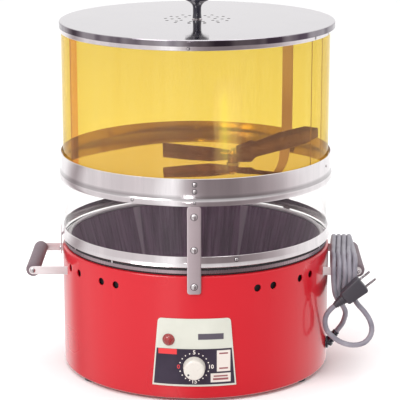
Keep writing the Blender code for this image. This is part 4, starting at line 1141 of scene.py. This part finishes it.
def print_dial():
    """The printed marks round the timer's knob: 0, 5, 10 and 15 with dots between."""
    reach = 0.0188
    dots, marks, zero = [], [], []
    for step in range(20):
        angle = math.radians(180 - 18 * step)
        if step in (0, 5, 10, 15):
            continue
        x, z = reach * math.cos(angle), reach * math.sin(angle)
        azimuth = math.degrees(x / SHELL_RADIUS)
        dots.append(knob_like("dot", [(0, 0.00016), (0.00085, 0.00016), (0.00085, 0), (0, 0)],
                              on_drum(azimuth, LABEL_FACE + 0.00002, TIMER_HEIGHT + z),
                              towards(azimuth), 12))
    for text, step, away in (("0", 0, 0.0200), ("5", 5, 0.0196), ("10", 10, 0.0212),
                             ("15", 15, 0.0196)):
        angle = math.radians(180 - 18 * step)
        x, z = away * math.cos(angle), away * math.sin(angle)
        mark = number(text, 0.0056, x, TIMER_HEIGHT + z)
        (zero if text == "0" else marks).append(mark)
    finish(together("dial_dots", dots), FINISHES["white_ink"], "root")
    finish(together("dial_numbers", marks), FINISHES["white_ink"], "root")
    finish(together("dial_zero", zero), FINISHES["red_ink"], "root")


def number(text, height, x, z):
    """A number printed on the label, a hair thick."""
    bpy.ops.object.select_all(action="DESELECT")
    bpy.ops.object.text_add(location=(0, 0, 0))
    mark = bpy.context.object
    mark.data.body, mark.data.size = text, height * 1.35
    mark.data.align_x, mark.data.align_y = "CENTER", "CENTER"
    mark.data.extrude, mark.data.resolution_u = 0.00008, 3
    mark.data.offset = 0.00012
    bpy.ops.object.convert(target="MESH")
    azimuth = math.degrees(x / SHELL_RADIUS)
    mark.matrix_world = (Matrix.Translation(on_drum(azimuth, LABEL_FACE + 0.0001, z))
                         @ Matrix.Rotation(math.radians(azimuth), 4,
                                           "Z") @ Matrix.Rotation(math.pi / 2, 4, "X"))
    return settle(mark, "number", 0)


def make_handles():
    """Both handles: flat bars with round ends, foam grips and slotted screws."""
    thick, tall = 0.002, 0.0055
    count = 0
    for side, side_name in ((-1, "left"), (1, "right")):
        for end_side, end_name in ((-1, "front"), (1, "back")):
            count += 1
            node = f"{side_name}_{end_name}_bar"
            low, high, middle = size_of(node)
            start, stop = (low.x, high.x) if side > 0 else (high.x, low.x)
            length = abs(stop - start)
            outline = [(0, -tall), (length - tall, -tall)] + arc((length - tall, 0), tall, -80, 80,
                                                                 10)
            outline += [(length - tall, tall), (0, tall)]
            bar = outlined("bar", outline, thick, 0.0003)
            turn = Matrix.Rotation(0 if side > 0 else math.pi, 4, "Z")
            bar.matrix_world = (Matrix.Translation((start, middle.y + (thick / 2) * side,
                                                    HANDLE_HEIGHT)) @ turn)
            settle(bar, f"{side_name}_{end_name}_rail")
            finish(bar, FINISHES["rail"], "root", node, "satin_steel")
            outward = Vector((0, end_side, 0))
            face = high.y if end_side > 0 else low.y
            head = slotted_screw(f"{side_name}_{end_name}_head",
                                 (side * HANDLE_REACH, face + end_side * 0.0003, HANDLE_HEIGHT),
                                 outward,
                                 0.0036, 0.0017, 0.7 + count)
            finish(head, FINISHES["screw"], "root", f"grip_screw_{count}", "polished_steel")
        low, high, middle = size_of(f"{side_name}_grip")
        half, radius = (high.y - low.y) / 2, 0.0095
        tube = [(0, half), (radius * 0.55, half), (radius * 0.85, half - 0.0006),
                (radius * 0.97, half - 0.0022),
                (radius, half - 0.0045), (radius * 0.985, half * 0.5), (radius * 0.98, 0),
                (radius * 0.985, -half * 0.5),
                (radius, -half + 0.0045), (radius * 0.97, -half + 0.0022),
                (radius * 0.85, -half + 0.0006),
                (radius * 0.55, -half), (0, -half)]
        grip = knob_like(f"{side_name}_foam", tube,
                         Vector((side * HANDLE_REACH, middle.y, HANDLE_HEIGHT)),
                         Vector((0, 1, 0)), 48)
        finish(grip, FINISHES["grip"], "root", f"{side_name}_grip", "grip_plastic")


# --- the cord -------------------------------------------------------------------------

def smooth_route(points, spacing):
    """Points this far apart on the smooth curve through a route's own points."""
    ends = [2 * points[0] - points[1], *points, 2 * points[-1] - points[-2]]
    fine = []
    for a, b, c, d in zip(ends, ends[1:], ends[2:], ends[3:]):
        for i in range(16):
            t = i / 16
            fine.append(0.5 * (2 * b + (c - a) * t + (2 * a - 5 * b + 4 * c - d) * t ** 2
                               + (3 * b - a - 3 * c + d) * t ** 3))
    fine.append(points[-1])
    along = [0.0]
    for a, b in zip(fine, fine[1:]):
        along.append(along[-1] + (b - a).length)
    count = max(2, round(along[-1] / spacing))
    route, k = [], 0
    for i in range(count + 1):
        target = along[-1] * i / count
        while k < len(along) - 2 and along[k + 1] < target:
            k += 1
        share = (target - along[k]) / max(along[k + 1] - along[k], 1e-9)
        route.append(fine[k].lerp(fine[k + 1], min(share, 1.0)))
    return route


HANK_LOW, _, HANK_MIDDLE = size_of("cord_hank")
GLAND_ROOT = on_drum(80, SHELL_RADIUS + 0.003, 0.0316)
SLEEVE_WAY = towards(80, 55)
SLEEVE_TIP = GLAND_ROOT + SLEEVE_WAY * 0.020
PLUG_ALONG = Vector((math.cos(math.radians(40)), 0, math.sin(math.radians(40))))
PLUG_NECK_END = Vector((0.1850, -0.0803 + AXIS_Y, 0.0985))


NEAR_SAG = (0.0085, 0.0095, 0.0070, 0.0040,
            0.0010)    # how far each turn hangs below the wound shape


def cord_route():
    """The cord's middle line: up from the gland, round the handle, and to the plug."""
    start = SLEEVE_TIP - SLEEVE_WAY * 0.004
    route = [start, SLEEVE_TIP + SLEEVE_WAY * 0.0006, SLEEVE_TIP + SLEEVE_WAY * 0.0126]
    route += [Vector((x, y + AXIS_Y, z)) for x, y, z in (
        (0.2012, -0.0405, 0.0680), (0.2022, -0.0460, 0.0780), (0.1985, -0.0530, 0.0885),
        (0.1925, -0.0590, 0.0975), (0.1893, -0.0625, 0.1030), (0.1862, -0.0660, 0.1115),
        (0.1846, -0.0679, 0.1215))]
    middle = HANK_MIDDLE.z
    run, radius = 0.042, 0.0265
    turns = sizes().cord_turns
    pitch = 2 * CORD_RADIUS
    first = HANK_LOW.x + CORD_RADIUS
    straight, bend = 2 * run, math.pi * radius
    around = 2 * (straight + bend)
    count = 40 * turns
    for i in range(count + 1):
        gone = around * i / 40
        if gone > around * turns - bend / 2 - 0.016:
            break
        turn, left = divmod(gone, around)
        x = first + pitch * min(turn + max(0.0, (left - bend / 2) / straight
                                           if left < bend / 2 + straight else 1.0),
                                turns - 1)
        if left < bend / 2:
            angle = math.pi - left / radius
            y, z = -run + radius * math.cos(angle), radius * math.sin(angle)
        elif left < bend / 2 + straight:
            y, z = -run + (left - bend / 2), radius
        elif left < 1.5 * bend + straight:
            angle = math.pi / 2 - (left - bend / 2 - straight) / radius
            y, z = run + radius * math.cos(angle), radius * math.sin(angle)
        elif left < 1.5 * bend + 2 * straight:
            y, z = run - (left - 1.5 * bend - straight), -radius
        else:
            angle = -math.pi / 2 - (left - 1.5 * bend - 2 * straight) / radius
            y, z = -run + radius * math.cos(angle), radius * math.sin(angle)
        near = max(0.0, min(1.0, (-y - 0.01) / 0.05))
        sag = max(0.0, -z / radius) * near * NEAR_SAG[int(turn)]
        x += 0.0006 * math.sin(1.7 * turn + 9 * y / run) * near
        route.append(Vector((x, y + AXIS_Y, middle + z - sag)))
    route += [Vector((x, y + AXIS_Y, z)) for x, y, z in (
        (0.2121, -0.0530, 0.1050), (0.2130, -0.0640, 0.1015), (0.2170, -0.0705, 0.0965),
        (0.2245, -0.0745, 0.0890),
        (0.2315, -0.0780, 0.0790), (0.2350, -0.0800, 0.0670), (0.2325, -0.0810, 0.0555),
        (0.2240, -0.0815, 0.0468),
        (0.2100, -0.0815, 0.0440), (0.1940, -0.0815, 0.0482), (0.1808, -0.0812, 0.0577),
        (0.1748, -0.0808, 0.0657),
        (0.1725, -0.0805, 0.0763), (0.1748, -0.0804, 0.0869))]
    route += [PLUG_NECK_END - PLUG_ALONG * 0.0046, PLUG_NECK_END - PLUG_ALONG * 0.0006,
              PLUG_NECK_END + PLUG_ALONG * 0.004]
    return route


def length_of(route):
    return sum((b - a).length for a, b in zip(route, route[1:]))


def make_cord():
    """The mains cord in one piece, its strain relief at the gland, and its plug."""
    route = smooth_route(cord_route(), 0.005)
    curve = bpy.data.curves.new("mains_cord", "CURVE")
    curve.dimensions, curve.bevel_depth, curve.bevel_resolution = "3D", CORD_RADIUS, 4
    curve.use_fill_caps, curve.resolution_u = True, 1
    spline = curve.splines.new("POLY")
    spline.points.add(len(route) - 1)
    for knot, spot in zip(spline.points, route):
        knot.co = (*spot, 1)
    cord = bpy.data.objects.new("mains_cord", curve)
    bpy.context.scene.collection.objects.link(cord)
    finish(cord, FINISHES["cord"], "root", ("cord_tail_gland", "cord_hank", "cord_tail_plug"),
           "cord_grey")
    outward = towards(80)
    flange = knob_like("gland_flange", [(0, 0.0042), (0.0066, 0.0042), (0.0082, 0.0034),
                                        (0.0086, 0.0026),
                                        (0.0086, 0.0006), (0.006, 0.0006), (0.006, -0.0015),
                                        (0, -0.0015)],
                       on_drum(80, SHELL_RADIUS, 0.0316), outward, 40)
    ribs = [(0, 0.020), (CORD_RADIUS + 0.0006, 0.020), (CORD_RADIUS + 0.0012, 0.0194)]
    for i in range(6):
        z = 0.0176 - i * 0.0026
        wide = CORD_RADIUS + 0.0014 + i * 0.00028
        ribs += [(wide, z + 0.0010), (wide, z), (wide - 0.0009, z - 0.0003),
                 (wide - 0.0009, z - 0.0013)]
    ribs += [(0.0070, 0.0018), (0.0070, -0.001), (0, -0.001)]
    sleeve = knob_like("gland_sleeve", ribs, GLAND_ROOT, SLEEVE_WAY, 40)
    finish(together("strain_relief", [flange, sleeve]), FINISHES["black"], "root", "cord_gland",
           "black_plastic")
    plug, pins = make_plug()
    round(length_of(route), 3)


def make_plug():
    """A flat two-pin plug with a ribbed neck."""
    length, width, thick, neck = 0.032, 0.024, 0.016, 0.016
    bpy.ops.object.select_all(action="DESELECT")
    bpy.ops.mesh.primitive_cube_add(size=1, location=(0, 0, length / 2 + neck))
    body = bpy.context.object
    body.scale = (width, thick, length)
    alone(body)
    bpy.ops.object.transform_apply(location=True, scale=True)
    bpy.ops.object.mode_set(mode="EDIT")
    bpy.ops.mesh.select_all(action="SELECT")
    bpy.ops.mesh.bevel(offset=0.0028, segments=4, affect="EDGES")
    bpy.ops.mesh.select_all(action="DESELECT")
    bpy.ops.object.mode_set(mode="OBJECT")
    for spot in body.data.vertices:
        share = (spot.co.z - neck) / length
        pinch = 1 - 0.22 * max(0.0,
                               1 - share * 2.2) - 0.10 * math.exp(-((share - 0.62) / 0.16) ** 2)
        spot.co.x *= pinch
    rings = [(0, neck + 0.004)]
    for i in range(5):
        z = neck - 0.0002 - i * 0.0030
        wide = 0.0074 - i * 0.0006
        rings += [(wide, z), (wide, z - 0.0012), (wide - 0.0009, z - 0.0015),
                  (wide - 0.0009, z - 0.0027)]
    rings += [(CORD_RADIUS + 0.0006, 0.0002), (0, 0.0002)]
    stalk = turned("stalk", rings, steps=36, about=(0, 0, 0))
    plug = together("plug_moulding", [body, stalk])
    across = Vector((-PLUG_ALONG.z, 0, PLUG_ALONG.x))
    frame_of = Matrix((across, PLUG_ALONG.cross(across), PLUG_ALONG)).transposed().to_4x4()
    plug.matrix_world = Matrix.Translation(PLUG_NECK_END) @ frame_of
    settle(plug, "plug_moulding", 40)
    finish(plug, FINISHES["plug"], "root", "plug_body", "black_plastic")
    pins = []
    for i, side in ((1, -1), (2, 1)):
        outline = [(-0.00315, 0), (0.00315, 0), (0.00315, 0.015), (0.0022, 0.017),
                   (-0.0022, 0.017), (-0.00315, 0.015)]
        hole = [(0.0011 * math.cos(k * math.pi / 6), 0.0125 + 0.0011 * math.sin(k * math.pi / 6))
                for k in range(12)]
        pin = outlined("pin", outline, 0.0015, 0.0002, 0, [hole])
        pin.matrix_world = (Matrix.Translation(PLUG_NECK_END + PLUG_ALONG * (neck + length + GAP)
                                               + across * (side * 0.00635)) @ frame_of
                            @ Matrix.Rotation(math.pi / 2, 4, "Z"))
        settle(pin, f"plug_pin_{i}", 30)
        finish(pin, FINISHES["screw"], "root", f"plug_prong_{i}", "polished_steel")
        pins.append(pin)
    return plug, pins


def make_feet():
    """Four rubber feet with rounded edges."""
    for i in range(1, 5):
        middle = size_of(f"foot_{i}")[2]
        foot = knob_like(f"rubber_foot_{i}", [(0, 0.0037), (0.009, 0.0037), (0.0092, 0.0028),
                                              (0.0086, 0.0006),
                                              (0.0080, 0), (0.004, 0), (0.0034, 0.0008),
                                              (0, 0.0008)],
                         Vector((middle.x, middle.y, 0)), None, 32)
        finish(foot, FINISHES["rubber"], "root", f"foot_{i}", "black_rubber")


CAD_FINISHES = {
    "bottom_cover": "satin", "heating_element": "satin", "heat_reflector": "satin",
    "thermostat": "brass",
    "terminal_block": "ceramic", "timer_body": "satin", "lamp_body": "ceramic",
    "knob_screw": "screw",
    "timer_shaft": "brass"}


def dress_cad_nodes():
    """Gives the nodes that stay a proper finish."""
    for node, name in CAD_FINISHES.items():
        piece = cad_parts[node]
        for holder in piece.material_slots:
            holder.material = FINISHES[name]


# --- the studio -----------------------------------------------------------------------

def make_stage():
    """A pale floor, a soft white room with a darker side for the metal, and the camera."""
    bpy.ops.object.select_all(action="DESELECT")
    bpy.ops.mesh.primitive_circle_add(vertices=96, radius=14, fill_type="NGON", location=(0, 0, 0))
    floor = bpy.context.object
    floor.name = "studio_floor"
    floor.data.materials.append(paper("studio_paper", (0.93, 0.93, 0.93)))
    floor.visible_glossy = False
    scene = bpy.context.scene
    scene.view_settings.view_transform = "Standard"
    make_room(scene)
    soft_light("key_light", (-1.6, -1.9, 2.3), (0, 0, 0.25), 1.6, 42)
    soft_light("top_light", (0.1, 0.4, 2.7), (0, 0, 0.2), 2.2, 34)
    soft_light("strip_light", (-0.25, -2.9, 0.55), (0, 0, 0.35), 0.22, 1.6)
    camera = bpy.data.cameras.new("camera")
    camera.sensor_width, camera.lens, camera.clip_end = 36, 155.9, 60
    eye = bpy.data.objects.new("camera", camera)
    turn = math.radians(0.6)
    spot = Matrix.Rotation(turn, 4, "Z") @ Vector((0.0011, -2.2725, 0.796))
    eye.location = spot + Vector((AXIS_X, AXIS_Y, 0))
    eye.rotation_euler = (math.radians(90 - 14.17), 0, turn - math.radians(0.12))
    scene.collection.objects.link(eye)
    scene.camera = eye


def soft_light(name, where, at, width, power):
    """A square softbox that faces a point."""
    lamp = bpy.data.lights.new(name, "AREA")
    lamp.energy, lamp.size, lamp.color = power, width, (1, 1, 1)
    thing = bpy.data.objects.new(name, lamp)
    thing.location = where
    thing.rotation_euler = (Vector(where) - Vector(at)).to_track_quat("Z", "Y").to_euler()
    bpy.context.scene.collection.objects.link(thing)
    thing.visible_camera = False
    return thing


ROOM_TONES = (
    (0.00, 1.10), (0.10, 1.10), (0.145, 0.55), (0.165, 0.40), (0.185, 0.62), (0.21, 0.84),
    (0.28, 0.78),
    (0.36, 0.72), (0.40, 0.80), (0.43, 1.15), (0.455, 1.10), (0.475, 0.62), (0.50, 0.36),
    (0.53, 0.26),
    (0.58, 0.24), (0.64, 0.32), (0.69, 0.44), (0.74, 0.72), (0.79, 0.95), (0.86, 1.00),
    (1.00, 1.10))


def make_room(scene):
    """White for the eye and for soft light; a toned room for what the metal mirrors."""
    world = bpy.data.worlds.new("studio")
    scene.world = world
    world.use_nodes = True
    tree = world.node_tree
    tree.nodes.clear()

    def node(kind, **settings):
        made = tree.nodes.new(kind)
        for key, value in settings.items():
            setattr(made, key, value)
        return made

    where = node("ShaderNodeTexCoord")
    split = node("ShaderNodeSeparateXYZ")
    tree.links.new(where.outputs["Generated"], split.inputs[0])
    back = node("ShaderNodeMath", operation="MULTIPLY")
    tree.links.new(split.outputs["Y"], back.inputs[0])
    back.inputs[1].default_value = -1
    turn = node("ShaderNodeMath", operation="ARCTAN2")
    tree.links.new(split.outputs["X"], turn.inputs[0])
    tree.links.new(back.outputs[0], turn.inputs[1])
    share = node("ShaderNodeMapRange")
    tree.links.new(turn.outputs[0], share.inputs[0])
    share.inputs[1].default_value, share.inputs[2].default_value = -math.pi, math.pi
    ramp = node("ShaderNodeValToRGB")
    stops = ramp.color_ramp.elements
    while len(stops) < len(ROOM_TONES):
        stops.new(0.5)
    for stop, (at, tone) in zip(stops, ROOM_TONES):
        stop.position = at
        clean = min(tone, 1.0)
        stop.color = (tone, tone * (0.80 + 0.20 * clean), tone * (0.84 + 0.16 * clean), 1)
    tree.links.new(share.outputs[0], ramp.inputs[0])
    lift = node("ShaderNodeMapRange")
    tree.links.new(split.outputs["Z"], lift.inputs[0])
    lift.inputs[1].default_value, lift.inputs[2].default_value = 0.10, 0.70
    above = node("ShaderNodeMix", data_type="RGBA")
    tree.links.new(lift.outputs[0], above.inputs[0])
    tree.links.new(ramp.outputs[0], above.inputs[6])
    above.inputs[7].default_value = (1.0, 1.0, 1.0, 1)
    path = node("ShaderNodeLightPath")
    choose = node("ShaderNodeMix", data_type="RGBA")
    tree.links.new(path.outputs["Is Glossy Ray"], choose.inputs[0])
    choose.inputs[6].default_value = (1.0, 1.0, 1.0, 1)
    tree.links.new(above.outputs[2], choose.inputs[7])
    shine = node("ShaderNodeBackground")
    tree.links.new(choose.outputs[2], shine.inputs[0])
    shine.inputs[1].default_value = 1.0
    out = node("ShaderNodeOutputWorld")
    tree.links.new(shine.outputs[0], out.inputs[0])


# --- the add-on -----------------------------------------------------------------------

class POPCORN_OT_finishes(bpy.types.Operator):
    """Makes every material of the object"""
    bl_idname = "popcorn.finishes"
    bl_label = "Make finishes"

    def execute(self, context):
        make_finishes()
        return {"FINISHED"}


class POPCORN_OT_base_shell(bpy.types.Operator):
    """Builds the enamelled shell with its vent holes"""
    bl_idname = "popcorn.base_shell"
    bl_label = "Base shell"

    def execute(self, context):
        make_base_shell()
        return {"FINISHED"}


class POPCORN_OT_feet(bpy.types.Operator):
    """Builds the four rubber feet"""
    bl_idname = "popcorn.feet"
    bl_label = "Feet"

    def execute(self, context):
        make_feet()
        return {"FINISHED"}


class POPCORN_OT_pan(bpy.types.Operator):
    """Builds the pan with its rolled rim and its seat ring"""
    bl_idname = "popcorn.pan"
    bl_label = "Pan and seat ring"

    def execute(self, context):
        make_pan()
        return {"FINISHED"}


class POPCORN_OT_lower_drum(bpy.types.Operator):
    """Builds the clear wall with its band, strap and clips"""
    bl_idname = "popcorn.lower_drum"
    bl_label = "Lower drum"

    def execute(self, context):
        make_lower_drum()
        return {"FINISHED"}


class POPCORN_OT_upper_drum(bpy.types.Operator):
    """Builds the amber wall with its bands, floor and seam"""
    bl_idname = "popcorn.upper_drum"
    bl_label = "Upper drum"

    def execute(self, context):
        make_upper_drum()
        return {"FINISHED"}


class POPCORN_OT_stirrer(bpy.types.Operator):
    """Builds the stirrer's blades, hub, spindle and wing nut"""
    bl_idname = "popcorn.stirrer"
    bl_label = "Stirrer"

    def execute(self, context):
        make_stirrer()
        return {"FINISHED"}


class POPCORN_OT_lid(bpy.types.Operator):
    """Builds the polished lid and its spool-shaped knob"""
    bl_idname = "popcorn.lid"
    bl_label = "Lid and knob"

    def execute(self, context):
        make_lid()
        return {"FINISHED"}


class POPCORN_OT_controls(bpy.types.Operator):
    """Builds the label, its dial marks, the lamp and the timer's knob"""
    bl_idname = "popcorn.controls"
    bl_label = "Label, lamp and timer"

    def execute(self, context):
        make_controls()
        return {"FINISHED"}


class POPCORN_OT_handles(bpy.types.Operator):
    """Builds the two handles with their grips and screws"""
    bl_idname = "popcorn.handles"
    bl_label = "Handles"

    def execute(self, context):
        make_handles()
        return {"FINISHED"}


class POPCORN_OT_cord(bpy.types.Operator):
    """Builds the mains cord, its strain relief and its plug"""
    bl_idname = "popcorn.cord"
    bl_label = "Cord and plug"

    def execute(self, context):
        make_cord()
        return {"FINISHED"}


class POPCORN_OT_inner_parts(bpy.types.Operator):
    """Gives the parts inside the base their finishes"""
    bl_idname = "popcorn.inner_parts"
    bl_label = "Inner parts"

    def execute(self, context):
        dress_cad_nodes()
        return {"FINISHED"}


class POPCORN_OT_stage(bpy.types.Operator):
    """Builds the floor, the lights and the camera"""
    bl_idname = "popcorn.stage"
    bl_label = "Studio"

    def execute(self, context):
        make_stage()
        return {"FINISHED"}


class POPCORN_PT_parts(bpy.types.Panel):
    """Lists the sizes, the colours and the steps"""
    bl_idname = "POPCORN_PT_parts"
    bl_label = "Drum popcorn maker"
    bl_space_type = "VIEW_3D"
    bl_region_type = "UI"
    bl_category = "Popcorn"

    def draw(self, context):
        column = self.layout.column()
        for group in (context.scene.popcorn_sizes, context.scene.popcorn_colours):
            for key in group.__annotations__:
                column.prop(group, key)
        for step in STEPS:
            column.operator(step.bl_idname)


STEPS = (POPCORN_OT_finishes, POPCORN_OT_stage, POPCORN_OT_cord,
         POPCORN_OT_base_shell, POPCORN_OT_feet, POPCORN_OT_pan,
         POPCORN_OT_lower_drum, POPCORN_OT_upper_drum, POPCORN_OT_stirrer,
         POPCORN_OT_lid, POPCORN_OT_controls, POPCORN_OT_handles,
         POPCORN_OT_inner_parts)
CLASSES = (PopcornSizes, PopcornColours, *STEPS, POPCORN_PT_parts)


def register():
    for kind in CLASSES:
        bpy.utils.register_class(kind)
    bpy.types.Scene.popcorn_sizes = PointerProperty(type=PopcornSizes)
    bpy.types.Scene.popcorn_colours = PointerProperty(type=PopcornColours)


def unregister():
    del bpy.types.Scene.popcorn_sizes, bpy.types.Scene.popcorn_colours
    for kind in reversed(CLASSES):
        bpy.utils.unregister_class(kind)


def main():
    """Builds everything in order."""
    register()
    for step in STEPS:
        group, name = step.bl_idname.split(".")
        getattr(getattr(bpy.ops, group), name)()


if __name__ == "__main__":
    main()
